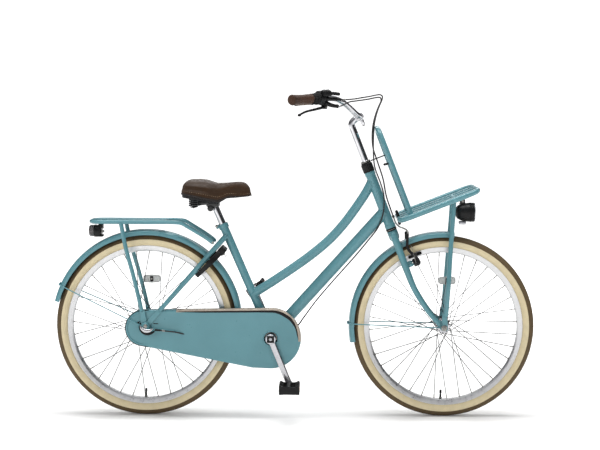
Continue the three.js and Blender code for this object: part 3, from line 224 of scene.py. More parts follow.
# ------------------------------------------------------------------ mesh pieces
class Piece:
    """Collects surfaces in layout millimetres and makes one object of them."""

    def __init__(self):
        self.v, self.count = [], 0
        self.f, self.m, self.uv, self.mats = [], [], [], []

    def index(self, mat):
        if mat not in self.mats:
            self.mats.append(mat)
        return self.mats.index(mat)

    def put(self, verts, faces, uvs, mat):
        verts = np.asarray(verts, float)
        k = self.index(mat) if mat is not None else None
        for n, f in enumerate(faces):
            self.f.append([int(i) + self.count for i in f])
            self.m.append(k if k is not None else self.index(mat))
            self.uv.append(uvs[n])
        self.v.append(verts)
        self.count += len(verts)

    def grid(self, Q, mat, ci=False, cj=True, matij=None, u=None, w=None):
        Q = np.asarray(Q, float)
        n, m, _ = Q.shape
        if u is None:
            d = np.linalg.norm(np.diff(Q.mean(1), axis=0), axis=1)
            e = np.linalg.norm(np.diff(Q[:, 0], axis=0), axis=1)
            u = np.concatenate([[0], np.cumsum(np.maximum(d, e))])
            u = np.append(u, u[-1] + np.linalg.norm(Q[0, 0] - Q[-1, 0]))
        if w is None:
            row = Q[n // 2]
            d = np.linalg.norm(np.diff(row, axis=0), axis=1)
            w = np.concatenate([[0], np.cumsum(d)])
            w = np.append(w, w[-1] + np.linalg.norm(row[0] - row[-1]))
        verts, ids = [], np.empty((n, m), int)
        for i in range(n):
            if np.ptp(Q[i], axis=0).max() < 1e-6:
                ids[i, :] = len(verts)
                verts.append(Q[i, 0])
            else:
                ids[i] = np.arange(len(verts), len(verts) + m)
                verts.extend(Q[i])
        default = self.index(mat)
        for i in range(n if ci else n - 1):
            i2 = (i + 1) % n
            for j in range(m if cj else m - 1):
                j2 = (j + 1) % m
                a, b, c, d = ids[i, j], ids[i, j2], ids[i2, j2], ids[i2, j]
                ua, ub = u[i] / 1000, u[i + 1] / 1000
                wa, wb = w[j] / 1000, w[j + 1] / 1000
                f = [a, b, c, d]
                t = [(ua, wa), (ua, wb), (ub, wb), (ub, wa)]
                if a == b:
                    f, t = [a, c, d], [t[0], t[2], t[3]]
                elif c == d:
                    f, t = [a, b, c], t[:3]
                if len(set(f)) < 3:
                    continue
                self.f.append([x + self.count for x in f])
                self.m.append(default if matij is None else self.index(matij(i, j)))
                self.uv.append(t)
        self.v.append(np.array(verts))
        self.count += len(verts)

    def tube(
        self,
        path,
        r,
        mat,
        sides=20,
        n=None,
        curve=True,
        closed=False,
        ends="flat",
        bev=0.6,
        ref=None,
        ell=(1, 1),
        matij=None,
        spin=0.0,
        lump=None,
    ):
        path = [tuple(q) for q in path]
        if curve and len(path) > 2:
            length = sum(
                np.linalg.norm(A(*path[k]) - A(*path[k + 1]))
                for k in range(len(path) - 1)
            )
            if n is None:
                n = int(np.clip(length / 6, 10, 160))
            p = spline(path, n, closed)
        else:
            p = np.array(path, float)
            if n is not None:
                p = resample(p, n, closed)
        n = len(p)
        t = np.zeros_like(p)
        if closed:
            t = np.roll(p, -1, 0) - np.roll(p, 1, 0)
        else:
            t[1:-1] = p[2:] - p[:-2]
            t[0], t[-1] = p[1] - p[0], p[-1] - p[-2]
        t /= np.linalg.norm(t, axis=1)[:, None]
        x, y, _ = basis(t[0], ref)
        frames = [(x, y)]
        for k in range(1, n):
            x = frames[-1][0]
            x = unit(x - np.dot(x, t[k]) * t[k])
            frames.append((x, np.cross(t[k], x)))
        if closed:  # spread the closing twist
            x0 = frames[0][0]
            xe = frames[-1][0]
            xe = unit(xe - np.dot(xe, t[0]) * t[0])
            ang = math.atan2(np.dot(np.cross(xe, x0), t[0]), np.dot(xe, x0))
            frames = [
                (
                    x * math.cos(ang * k / n) + y * math.sin(ang * k / n),
                    -x * math.sin(ang * k / n) + y * math.cos(ang * k / n),
                )
                for k, (x, y) in enumerate(frames)
            ]
        d = np.concatenate([[0], np.cumsum(np.linalg.norm(np.diff(p, axis=0), axis=1))])
        rr = [r(s / d[-1]) if callable(r) else r for s in d]
        rows = [(p[k], frames[k], rr[k]) for k in range(n)]
        if not closed and ends:
            def cap(k, sgn):
                q, f, rk = p[k], frames[k], rr[k]
                step = t[k] * sgn
                if ends == "round":
                    return [
                        (q - step * rk * math.cos(g), f, rk * math.sin(g))
                        for g in np.linspace(0, math.pi / 2, 7)[:-1]
                    ]
                b = min(bev, 0.45 * rk)
                return [
                    (q, f, 0.0),
                    (q, f, rk - b),
                    (q + step * b * 0.3, f, rk - 0.3 * b),
                    (q + step * b, f, rk),
                ]

            head, tail = cap(0, 1), cap(n - 1, -1)
            if ends == "round":
                rows = head + rows + tail[::-1]
            else:
                rows = head + rows[1:-1] + tail[::-1]
        a = np.arange(sides) / sides * 2 * math.pi + spin
        Q = []
        for k, (q, (x, y), rk) in enumerate(rows):
            ra = rk if lump is None else rk * (1 + lump(k / (len(rows) - 1), a))
            ra = np.broadcast_to(ra, a.shape)[:, None]
            Q.append(
                q
                + ra
                * (
                    np.outer(np.cos(a) * ell[0], x) + np.outer(np.sin(a) * ell[1], y)
                )
            )
        rmax = max(rr)
        w = np.arange(sides + 1) / sides * 2 * math.pi * rmax
        self.grid(np.array(Q), mat, ci=closed, cj=True, matij=matij, w=w)
        return p

    def lathe(
        self,
        prof,
        o,
        ax,
        mat,
        n=64,
        closed=False,
        a0=0.0,
        a1=360.0,
        ref=None,
        matij=None,
        mod=None,
    ):
        x, y, z = basis(ax, ref)
        full = abs(a1 - a0) >= 359.999
        a = np.radians(np.linspace(a0, a1, n, endpoint=not full))
        o = np.asarray(o, float)
        Q = []
        for i, (r, h) in enumerate(prof):
            ra = r if mod is None else r + mod(i, r, h, a)
            ra = np.broadcast_to(ra, a.shape)[:, None]
            Q.append(o + z * h + ra * (np.outer(np.cos(a), x) + np.outer(np.sin(a), y)))
        rmax = max(q[0] for q in prof)
        w = np.radians(np.linspace(a0, a1, n + 1)) * rmax
        self.grid(np.array(Q), mat, ci=closed, cj=full, matij=matij, w=w)

    def plate(self, outline, c0, c1, frame3, mat, bev=0.5, holes=(), side=None):
        """An outline in the frame's first two axes, given thickness along the third, with rounded edges."""
        o, ea, eb, ec = [np.asarray(q, float) for q in frame3]
        loops = []
        out = np.asarray(outline, float)
        if signed_area(out) < 0:
            out = out[::-1]
        loops.append(out)
        for h in holes:
            h = np.asarray(h, float)
            loops.append(h[::-1] if signed_area(h) > 0 else h)
        b = min(bev, abs(c1 - c0) * 0.45)
        levels = [
            (b, c0),
            (0.3 * b, c0 + 0.3 * b),
            (0, c0 + b),
            (0, c1 - b),
            (0.3 * b, c1 - 0.3 * b),
            (b, c1),
        ]

        def place(p2, c):
            return o + p2[:, :1] * ea + p2[:, 1:] * eb + c * ec

        for loop in loops:
            rows = [place(inset(loop, d), c) for d, c in levels]
            self.grid(np.array(rows), side or mat)
        flat = [inset(l, b) for l in loops]
        tris = tessellate_polygon([[Vector((q[0], q[1], 0)) for q in l] for l in flat])
        allp = np.vstack(flat)
        for c, rev in ((c0, True), (c1, False)):
            faces, uvs = [], []
            for t in tris:
                t = list(t)
                q = allp[t]
                if (signed_area(q) > 0) == rev:
                    t = t[::-1]
                faces.append(t)
                uvs.append([(allp[i][0] / 1000, allp[i][1] / 1000) for i in t])
            self.put(place(allp, c), faces, uvs, mat)

    def skirt(self, outline, prof, frame3, mat, closed=False, span=None, matij=None):
        """A profile of (inset, height) points swept along an outline."""
        o, ea, eb, ec = [np.asarray(q, float) for q in frame3]
        out = np.asarray(outline, float)
        rows = []
        for d, c in prof:
            p2 = inset(out, d)
            if span is not None:
                p2 = p2[span]
            rows.append(o + p2[:, :1] * ea + p2[:, 1:] * eb + c * ec)
        self.grid(np.array(rows), mat, ci=closed, cj=span is None, matij=matij)

    def cap(self, outline, c, frame3, mat, holes=()):
        o, ea, eb, ec = [np.asarray(q, float) for q in frame3]
        flat = [np.asarray(outline, float)] + [np.asarray(h, float) for h in holes]
        tris = tessellate_polygon([[Vector((q[0], q[1], 0)) for q in l] for l in flat])
        allp = np.vstack(flat)
        faces = [list(t) for t in tris]
        uvs = [[(allp[i][0] / 1000, allp[i][1] / 1000) for i in t] for t in faces]
        self.put(o + allp[:, :1] * ea + allp[:, 1:] * eb + c * ec, faces, uvs, mat)

    def rbox(self, c, size, mat, R=None, r=1.2):
        """A box with rounded edges. R holds its axes as rows."""
        R = np.eye(3) if R is None else np.asarray(R, float)
        sx, sy, sz = size
        self.plate(
            rect(0, 0, sx, sy, min(r, sx * 0.4, sy * 0.4)),
            -sz / 2,
            sz / 2,
            (c, R[0], R[1], R[2]),
            mat,
            bev=min(r, sz * 0.4),
        )

    def bolt(self, o, ax, r, h, mat, kind="hex", dark=None):
        """A bolt head whose underside is at o, standing along ax."""
        x, y, z = basis(ax)
        o = np.asarray(o, float)
        self.lathe(
            [(0, 0), (r * 1.32, 0), (r * 1.36, 0.25), (r * 1.36, 0.9), (r * 1.3, 1.1), (0, 1.1)],
            o,
            ax,
            mat,
            n=28,
        )
        if kind == "hex":
            self.plate(circle(0, 0, r * 1.12, 6), 1.0, h, (o, x, y, z), mat, bev=0.5)
            self.lathe([(0, h - 0.1), (r * 0.5, h - 0.1), (r * 0.45, h + 0.5), (0, h + 0.5)], o, ax, mat, n=20)
        else:
            self.plate(
                circle(0, 0, r, 28), 1.0, h, (o, x, y, z), mat, bev=0.6,
                holes=[circle(0, 0, r * 0.48, 6)],
            )
            # black disc at the floor of the socket: painted shade in the recess
            self.lathe([(0, h * 0.4), (r * 0.55, h * 0.4)], o, ax, dark or mat, n=12)

    def done(self, name, body, nodes, angle=38, ride=True):
        me = bpy.data.meshes.new(name)
        v = np.vstack(self.v)
        v = np.stack([(v[:, 0] - MID) / 1000, v[:, 1] / 1000, v[:, 2] / 1000], 1)
        me.from_pydata(v.tolist(), [], self.f)
        layer = me.uv_layers.new(name="UVMap")
        flat = [c for t in self.uv for uv in t for c in uv]
        layer.data.foreach_set("uv", np.array(flat, np.float32))
        for mat in self.mats:
            me.materials.append(mat)
        me.polygons.foreach_set("material_index", np.array(self.m, np.int32))
        me.polygons.foreach_set("use_smooth", np.ones(len(self.f), bool))
        me.validate(clean_customdata=False)
        bm = bmesh.new()
        bm.from_mesh(me)
        bmesh.ops.recalc_face_normals(bm, faces=bm.faces)
        bm.to_mesh(me)
        bm.free()
        me.set_sharp_from_angle(angle=rad(angle))
        me.update()
        ob = bpy.data.objects.new(name, me)
        scene.collection.objects.link(ob)
        if nodes:
            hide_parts(*nodes)
        if ride:
            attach(ob, body)
        return ob


# ------------------------------------------------------------------ materials
def lin(h):
    """Linear colour of an sRGB hex string."""
    out = []
    for k in (0, 2, 4):
        c = int(h[k : k + 2], 16) / 255
        out.append(c / 12.92 if c <= 0.04045 else ((c + 0.055) / 1.055) ** 2.4)
    return (*out, 1.0)


class Nodes:
    def __init__(self, name):
        self.m = bpy.data.materials.new(name)
        self.m.use_nodes = True
        self.t = self.m.node_tree
        self.t.nodes.clear()
        self.out = self.t.nodes.new("ShaderNodeOutputMaterial")
        self.b = self.t.nodes.new("ShaderNodeBsdfPrincipled")
        self.t.links.new(self.b.outputs[0], self.out.inputs[0])
        self.coord = self.t.nodes.new("ShaderNodeTexCoord")

    def link(self, a, b):
        self.t.links.new(a, b)

    def mapped(self, scale=(1, 1, 1), source="Object"):
        n = self.t.nodes.new("ShaderNodeMapping")
        n.inputs["Scale"].default_value = scale
        self.link(self.coord.outputs[source], n.inputs["Vector"])
        return n.outputs[0]

    def noise(self, scale, detail=4, rough=0.55, vec=None, distortion=0.0):
        n = self.t.nodes.new("ShaderNodeTexNoise")
        n.inputs["Scale"].default_value = scale
        n.inputs["Detail"].default_value = detail
        n.inputs["Roughness"].default_value = rough
        n.inputs["Distortion"].default_value = distortion
        self.link(vec if vec is not None else self.coord.outputs["Object"], n.inputs["Vector"])
        return n.outputs["Fac"]

    def voronoi(self, scale, vec=None, feature="F1", out="Distance", smooth=None):
        n = self.t.nodes.new("ShaderNodeTexVoronoi")
        n.feature = feature
        n.inputs["Scale"].default_value = scale
        self.link(vec if vec is not None else self.coord.outputs["Object"], n.inputs["Vector"])
        return n.outputs[out]

    def wave(self, scale, vec, distortion=0.0, detail=2, direction="X"):
        n = self.t.nodes.new("ShaderNodeTexWave")
        n.bands_direction = direction
        n.inputs["Scale"].default_value = scale
        n.inputs["Distortion"].default_value = distortion
        n.inputs["Detail"].default_value = detail
        self.link(vec, n.inputs["Vector"])
        return n.outputs["Fac"]

    def ramp(self, fac, a, b, lo=0.0, hi=1.0):
        n = self.t.nodes.new("ShaderNodeValToRGB")
        e = n.color_ramp.elements
        e[0].position, e[0].color = lo, a
        e[1].position, e[1].color = hi, b
        self.link(fac, n.inputs["Fac"])
        return n.outputs["Color"]

    def span(self, fac, lo, hi, f0=0.0, f1=1.0):
        n = self.t.nodes.new("ShaderNodeMapRange")
        n.inputs["From Min"].default_value = f0
        n.inputs["From Max"].default_value = f1
        n.inputs["To Min"].default_value = lo
        n.inputs["To Max"].default_value = hi
        self.link(fac, n.inputs["Value"])
        return n.outputs[0]

    def math(self, op, a, b=None):
        n = self.t.nodes.new("ShaderNodeMath")
        n.operation = op
        for k, x in enumerate((a, b)):
            if x is None:
                continue
            if isinstance(x, (int, float)):
                n.inputs[k].default_value = x
            else:
                self.link(x, n.inputs[k])
        return n.outputs[0]

    def mix(self, fac, a, b, kind="MIX"):
        n = self.t.nodes.new("ShaderNodeMix")
        n.data_type = "RGBA"
        n.blend_type = kind
        if isinstance(fac, (int, float)):
            n.inputs[0].default_value = fac
        else:
            self.link(fac, n.inputs[0])
        for k, x in ((6, a), (7, b)):
            if isinstance(x, tuple):
                n.inputs[k].default_value = x
            else:
                self.link(x, n.inputs[k])
        return n.outputs[2]

    def bump(self, height, distance, strength=1.0, normal=None):
        n = self.t.nodes.new("ShaderNodeBump")
        n.inputs["Distance"].default_value = distance
        n.inputs["Strength"].default_value = strength
        self.link(height, n.inputs["Height"])
        if normal is not None:
            self.link(normal, n.inputs["Normal"])
        return n.outputs[0]

    def set(self, **values):
        for k, x in values.items():
            k = k.replace("_", " ")
            if isinstance(x, (int, float, tuple)):
                self.b.inputs[k].default_value = x
            else:
                self.link(x, self.b.inputs[k])
        return self


def shade(c, k):
    return (min(c[0] * k, 1), min(c[1] * k, 1), min(c[2] * k, 1), 1.0)


def painted(name, color, metallic=0.0):
    """Stoved enamel: a thin clear coat over faintly uneven colour, with orange peel and a few dust marks."""
    k = Nodes(name)
    big = k.noise(9, 3)
    fine = k.noise(420, 2, 0.5)
    peel = k.noise(260, 2, 0.4)
    col = k.ramp(big, shade(color, 0.93), shade(color, 1.06), 0.3, 0.7)
    col = k.mix(k.span(fine, 0.0, 0.12), col, shade(color, 1.25))
    k.set(
        Base_Color=col,
        Metallic=metallic,
        Roughness=k.span(k.noise(40, 5), 0.27, 0.42, 0.3, 0.7),
        Specular_IOR_Level=0.35,
        Coat_Weight=0.35,
        Coat_Roughness=0.12,
        Normal=k.bump(peel, 0.00006),
    )
    return k.m


def plastic(name, color, rough=0.45, grain=900, depth=0.00008, coat=0.0, spec=0.5):
    k = Nodes(name)
    g = k.noise(grain, 3, 0.6)
    col = k.ramp(k.noise(35, 4), shade(color, 0.8), shade(color, 1.25), 0.3, 0.7)
    k.set(
        Base_Color=col,
        Roughness=k.span(k.noise(60, 4), rough - 0.07, rough + 0.1, 0.3, 0.7),
        Specular_IOR_Level=spec,
        Coat_Weight=coat,
        Coat_Roughness=0.12,
        Normal=k.bump(g, depth),
    )
    return k.m


def metal(name, color, rough=0.25, brushed=0.0, scratches=0.3, around=True, pits=0.0):
    k = Nodes(name)
    # lines run round turned pieces and along drawn ones, in metres of the piece's own map
    vec = k.mapped((2600, 60, 1) if around else (60, 2600, 1), "UV")
    lines = k.noise(1.0, 3, 0.6, vec)
    smear = k.noise(55, 5)
    col = k.ramp(smear, shade(color, 0.86), shade(color, 1.04), 0.3, 0.72)
    if pits:
        col = k.mix(k.span(k.noise(700, 3), 0, pits, 0.55, 0.7), col, shade(color, 0.35))
    base = k.span(smear, rough * 0.75, rough * 1.35, 0.3, 0.7)
    if brushed:
        base = k.math("ADD", base, k.span(lines, -0.5 * brushed, 0.5 * brushed, 0.3, 0.7))
    k.set(
        Base_Color=col,
        Metallic=1.0,
        Roughness=base,
        Normal=k.bump(lines, 0.00002 * (1 + 4 * brushed), scratches),
    )
    return k.m


TEAL = lin("52828a")
PAINT = painted("teal_enamel", TEAL, 0.08)
PAINT_DARK = plastic("shadow_gap", lin("16191a"), 0.7)
BLACK = plastic("black_plastic", lin("0b0b0c"), 0.44, spec=0.26)
BLACK_SOFT = plastic("black_rubber", lin("0c0b0b"), 0.64, 500, 0.00015, spec=0.24)
BLACK_STEEL = painted("black_enamel", lin("0e0f10"), 0.0)
CHROME = metal("chrome", lin("c4c4c7"), 0.07, 0.0, 0.25)
ALLOY = metal("satin_alloy", lin("a9aaae"), 0.3, 0.14, 0.6)
RIM_ALLOY = metal("rim_alloy", lin("d4d4d5"), 0.34, 0.14, 0.6)
ALLOY_BRIGHT = metal("bright_alloy", lin("bdbdc1"), 0.18, 0.06, 0.4)
STEEL = metal("zinc_steel", lin("94938f"), 0.27, 0.1, 0.5, pits=0.2)
SPOKE = metal("spoke_steel", lin("47484a"), 0.24, 0.03, 0.3, around=False)
DARK_STEEL = metal("oiled_steel", lin("5d5a55"), 0.38, 0.1, 0.6, pits=0.4)
BRASS = metal("nipple_brass", lin("77746a"), 0.3, 0.05, 0.4)
CABLE = plastic("cable_housing", lin("131213"), 0.4, 1400, 0.00003, 0.1)
# pale colour that stands in for the overhead light's reflection on the chain case's upper edge: a painted reflection
PAINTED_REFLECTION = plastic("painted_reflection_strip", lin("9c9184"), 0.4)


def rubber_tread():
    k = Nodes("brown_tread")
    c = lin("54452f")
    grain = k.noise(900, 4, 0.7)
    dust = k.noise(60, 5, 0.65)
    col = k.ramp(dust, shade(c, 0.78), shade(c, 1.25), 0.3, 0.72)
    col = k.mix(k.span(grain, 0, 0.5, 0.5, 0.8), col, shade(c, 1.7))
    k.set(
        Base_Color=col,
        Roughness=k.span(dust, 0.68, 0.9, 0.3, 0.7),
        Specular_IOR_Level=0.35,
        Normal=k.bump(grain, 0.00025),
    )
    return k.m


def rubber_wall(name, color):
    k = Nodes(name)
    vec = k.mapped((1, 1, 1), "UV")
    threads = k.wave(260, vec, 0.6, 2, "DIAGONAL")
    dust = k.noise(45, 5, 0.6)
    col = k.ramp(dust, shade(color, 0.9), shade(color, 1.06), 0.3, 0.7)
    col = k.mix(k.span(threads, 0, 0.14), col, shade(color, 0.7))
    k.set(
        Base_Color=col,
        Roughness=k.span(dust, 0.55, 0.75, 0.3, 0.7),
        Normal=k.bump(threads, 0.00008, 0.6),
    )
    return k.m


TREAD = rubber_tread()
WALL = rubber_wall("cream_sidewall", lin("cdbf9c"))


def leather(name, color, grain=520.0, depth=0.00035, rough=0.5, worn=0.4):
    k = Nodes(name)
    cells = k.voronoi(grain, feature="SMOOTH_F1")
    fine = k.noise(grain * 2.2, 5, 0.65)
    folds = k.noise(70, 4, 0.6, distortion=0.6)
    tone = k.noise(14, 4, 0.6)
    col = k.ramp(tone, shade(color, 0.72), shade(color, 1.22), 0.28, 0.74)
    col = k.mix(k.span(cells, 0.55, 0.0, 0.0, 0.45), col, shade(color, 0.55))
    col = k.mix(k.span(folds, 0, worn * 0.5, 0.52, 0.75), col, shade(color, 1.9))
    h = k.math("ADD", cells, k.math("MULTIPLY", fine, 0.35))
    k.set(
        Base_Color=col,
        Roughness=k.span(folds, rough + 0.1, rough - 0.12, 0.3, 0.7),
        Specular_IOR_Level=0.22,
        Sheen_Weight=0.08,
        Normal=k.bump(h, depth, 0.8, k.bump(folds, 0.0006, 0.35)),
    )
    return k.m


SADDLE_LEATHER = leather("saddle_leather", lin("32200f"), 480, 0.00035, 0.5)
SADDLE_TRIM = leather("saddle_trim", lin("1d1613"), 700, 0.0002, 0.5, 0.2)
GRIP_LEATHER = leather("grip_leather", lin("3c2415"), 560, 0.0004, 0.55)
THREAD = plastic("stitching", lin("6d5a45"), 0.7, 2500, 0.0002)


def prismatic(name, color, scale=420.0, trans=0.35):
    """Moulded reflector: rows of small prisms under clear plastic."""
    k = Nodes(name)
    cells = k.voronoi(scale, feature="F1")
    col = k.ramp(cells, shade(color, 1.15), shade(color, 0.7), 0.0, 0.6)
    k.set(
        Base_Color=col,
        Roughness=0.12,
        Metallic=0.25,
        Transmission_Weight=trans,
        IOR=1.49,
        Coat_Weight=0.8,
        Coat_Roughness=0.04,
        Normal=k.bump(cells, 0.0006),
    )
    return k.m


REFLECT_CLEAR = prismatic("clear_reflector", lin("c9ccca"))
REFLECT_RED = prismatic("red_reflector", lin("5a1a17"), 500, 0.2)


def lens(name, color, scale=300.0):
    k = Nodes(name)
    ribs = k.wave(scale, k.mapped((1, 1, 1), "Object"), 0.0, 0, "Y")
    col = k.ramp(ribs, shade(color, 1.1), shade(color, 0.75))
    k.set(
        Base_Color=col,
        Roughness=0.08,
        Transmission_Weight=0.6,
        IOR=1.49,
        Coat_Weight=0.6,
        Coat_Roughness=0.03,
        Normal=k.bump(ribs, 0.0005),
    )
    return k.m


LENS = lens("lamp_lens", lin("cfd3d4"))
LENS_SMOKE = lens("tail_lens", lin("4e4a4b"), 360)

# ------------------------------------------------------------------ the bicycle's own geometry
TYRE_R = 327.0
BASE = 1067.6
XZ = (A(0, 0, 0), A(1, 0, 0), A(0, 0, 1), A(0, -1, 0))  # plates in the bicycle's plane, c to the right
BB = A(448, 0, 286.5)
SEAT_DIR = A(-0.40244, 0, 0.91546)
SEAT_LEN = 438.58
N_DIR, U_DIR = A(0.9317, 0, 0.3633), A(-0.3633, 0, 0.9317)


def on_seat(t):
    return BB + t * SEAT_DIR


def S(n, u, y=0.0):
    p = A(879.9, y, 671.1) + n * N_DIR + u * U_DIR
    return p


def weld(P, end, direction, r, o, ax, R, mat, bead=1.5, n=72):
    """A weld bead where a round tube of radius r meets a round tube of radius R."""
    d = unit(direction)  # from the joint outwards along the tube
    x, y, _ = basis(d)
    o, ax = np.asarray(o, float), unit(ax)
    pts = []
    for k in range(n):
        a = 2 * math.pi * k / n
        p = np.asarray(end, float) + r * (math.cos(a) * x + math.sin(a) * y)
        q = p - o
        q = q - np.dot(q, ax) * ax
        e = d - np.dot(d, ax) * ax
        aa, bb, cc = np.dot(e, e), 2 * np.dot(q, e), np.dot(q, q) - R * R
        disc = bb * bb - 4 * aa * cc
        if disc < 0 or aa < 1e-9:
            continue
        pts.append(p + d * ((-bb + math.sqrt(disc)) / (2 * aa)))
    if len(pts) > 8:
        P.tube(pts, bead, mat, 8, n=min(len(pts), n), closed=True, curve=True,
               lump=lambda t, a: 0.12 * math.sin(t * 260))


# ---------- frame tubes
P = Piece()
hl, hh = 9.7, 226.6
prof = fil(
    [(15.6, hl), (19.4, hl), (19.4, hl + 12), (18, hl + 15), (18, hh - 15), (19.4, hh - 12), (19.4, hh), (15.6, hh)],
    1.2, 3,
)
P.lathe(prof, S(0, 0), U_DIR, PAINT, 72)
P.done("look_head_tube", "frame", ["head_tube"])

P = Piece()
top_path = [
    (375.5, 0, 434.5), (394.2, 0, 446.5), (459.1, 0, 488.4), (528.6, 0, 535.4), (592.3, 0, 582),
    (653.5, 0, 634.1), (703.5, 0, 688.5), (746.8, 0, 746.5), (786, 0, 806), (806, 0, 844),
]
P.tube(top_path, 16.5, PAINT, 40, n=90, ends=None)
weld(P, (394.2, 0, 446.5), A(394.2 - 375.5, 0, 12), 16.5, on_seat(0), SEAT_DIR, 15.2, PAINT)
weld(P, (786, 0, 806), A(-20, 0, -38), 16.5, S(0, 0), U_DIR, 18.2, PAINT)
P.done("look_top_tube", "frame", ["top_tube"])

P = Piece()
down_top = A(853.7, 0, 738.2)
P.tube([BB, down_top], 21, PAINT, 48, curve=False, n=20, ends=None)
weld(P, down_top, BB - down_top, 21, S(0, 0), U_DIR, 18.2, PAINT, 1.7)
weld(P, BB, down_top - BB, 21, BB, A(0, 1, 0), 20.2, PAINT, 1.7)
# the tube's direction and the normal on its upper side
dd = unit(down_top - BB)
dn = np.cross(A(0, 1, 0), dd)
dn = dn if dn[2] > 0 else -dn
P.done("look_down_tube", "frame", ["down_tube"])

P = Piece()
P.tube([on_seat(8), on_seat(SEAT_LEN)], 15, PAINT, 40, curve=False, n=16, ends=None)
weld(P, BB, SEAT_DIR, 15, BB, A(0, 1, 0), 20.2, PAINT, 1.6)
P.lathe(fil([(13.3, SEAT_LEN - 1), (15.4, SEAT_LEN - 1), (15.4, SEAT_LEN), (13.3, SEAT_LEN)], 0.3, 2), BB, SEAT_DIR, PAINT, 40)
P.done("look_seat_tube", "frame", ["seat_tube"])

P = Piece()
P.lathe(fil([(9.2, -34), (20, -34), (20, 34), (9.2, 34)], 1.0, 3), BB, A(0, 1, 0), PAINT, 64)
for s in (-1, 1):
    P.lathe(
        fil([(9.2, 34), (18, 34), (18, 38.5), (14.5, 38.5), (14.5, 36), (9.2, 36)], 0.5, 2),
        BB, A(0, s, 0), STEEL, 64,
        mod=lambda i, r, h, a: np.where((r > 17) & (np.cos(a * 6) > 0.86), -1.4, 0.0),
    )
P.done("look_bottom_bracket", "frame", ["bottom_bracket_shell"])

P = Piece()
for s in (-1, 1):
    path = [(430, s * 26, 288), (373, s * 30.5, 293.3), (300, s * 37, 299.9), (200, s * 46, 308.9), (100, s * 52.5, 318), (45, s * 56, 322.9), (24, s * 57.2, 324.8)]
    P.tube(path, lambda t: 9 - 2.2 * t, PAINT, 28, n=60, ends="round")
    out = fil([(34, 313), (34, 336), (14, 343), (-12, 341), (-18, 330), (-14, 314), (0, 309)], 4, 4, True)
    y0, y1 = (60, 64.5) if s > 0 else (-64.5, -60)
    P.plate(out, -y1, -y0, XZ, PAINT, 0.7, holes=[circle(0, TYRE_R, 5.6, 28), circle(24, 332, 2.4, 16)])
    # flattened stay end lapping the plate
    P.rbox((32, s * 59.3, 324.3), (30, 10, 5), PAINT, [A(1, 0, -0.08), A(0.08, 0, 1), A(0, 1, 0)], 1.4)
P.plate(rect(0, 0, 40, 60, 4), -3, 3, ((372, 0, 284.2), A(1, 0, 0), A(0, 1, 0), A(0, 0, 1)), PAINT, 0.8, holes=[circle(0, 0, 5.2, 28)])
P.tube([(318, -34, 300), (318, 34, 300)], 6, PAINT, 20, curve=False, n=4)
P.done("look_chainstays", "frame", ["chainstays"])

STAY = A(0.661, 0, 0.750)
AX = A(0, 0, TYRE_R)
P = Piece()
for s in (-1, 1):
    path = [AX + STAY * R + A(0, s * y, 0) for R, y in ((424, 19), (398, 34), (366, 44), (300, 48), (215, 54), (140, 65), (84, 76.3))]
    P.tube(path, lambda t: 9.6 - 1.8 * t * t, PAINT, 28, n=70, ends="round")
    nrm = A(-STAY[2], 0, STAY[0])
    out = fil([(-13, -9), (30, -9.5), (70, -8), (92, -5), (92, 5), (70, 8), (30, 9.5), (-13, 9)], 5, 4, True)
    P.plate(out, -2.2, 2.2, (AX + A(0, s * 71.2, 0), STAY, nrm, A(0, 1, 0)), PAINT, 0.8, holes=[circle(0, 0, 5.7, 28)])
P.tube([AX + STAY * 367 + A(0, y, 0) for y in (-44, 0, 44)], 6.5, PAINT, 24, curve=False, n=4)
P.bolt(AX + STAY * 373.5, STAY, 4, 4.5, STEEL)
P.done("look_seatstays", "frame", ["seatstays"])

P = Piece()
prof = fil([(15.7, 424.6), (18.4, 424.6), (18.4, 438), (18.0, 442.6), (13.3, 442.6), (13.3, 439), (15.7, 438.8)], 0.8, 3, True)
P.lathe(prof, BB, SEAT_DIR, PAINT, 64, closed=True)
seat_n = A(-SEAT_DIR[2], 0, SEAT_DIR[0])  # towards the back
for s in (-1, 1):
    P.rbox(A(254.0, s * 3.9, 680.5), (15, 13, 5.4), PAINT, [seat_n, SEAT_DIR, A(0, 1, 0)], 1.6)
P.tube([(248.5, -11.5, 682.5), (248.5, 11.5, 682.5)], 3.0, STEEL, 20, curve=False)
P.bolt(A(248.5, -7, 682.5), A(0, -1, 0), 3.4, 4.2, STEEL, "socket", BLACK)
P.bolt(A(248.5, 7, 682.5), A(0, 1, 0), 3.4, 3.6, STEEL)
P.done("look_seat_clamp", "frame", ["seat_clamp"])

# ---------- headset
P = Piece()
prof = fil([(14.8, 227.2), (18.8, 227.2), (20.0, 232), (20.3, 236), (20.3, 253), (19.6, 256), (18.2, 258), (18.0, 262), (16.2, 267.6), (14.8, 267.8)], 0.9, 3)
P.lathe(prof, S(0, 0), U_DIR, BLACK, 144, mod=lambda i, r, h, a: np.where(r > 19.2, 0.5 * np.cos(a * 24), 0.0))
P.lathe(fil([(18.4, 227.0), (20.8, 227.0), (20.8, 230.2), (18.4, 230.2)], 0.5, 2), S(0, 0), U_DIR, BLACK, 72)
P.lathe(fil([(15, 262.5), (17.6, 262.5), (17.9, 264.5), (17.0, 267.9), (14.8, 267.9)], 0.5, 2), S(0, 0), U_DIR, STEEL, 72)
P.done("look_headset_upper", "frame", ["headset_upper_cup"])
P = Piece()
P.lathe(fil([(14.8, -0.3), (18.6, -0.3), (19.6, 1.5), (19.6, 6.5), (19.0, 9.3), (14.8, 9.3)], 0.7, 3), S(0, 0), U_DIR, BLACK, 72)
P.lathe(fil([(19.3, 2.6), (20.0, 3.0), (20.0, 4.4), (19.3, 4.8)], 0.3, 2), S(0, 0), U_DIR, STEEL, 72)
P.done("look_headset_lower", "frame", ["headset_lower_cup"])


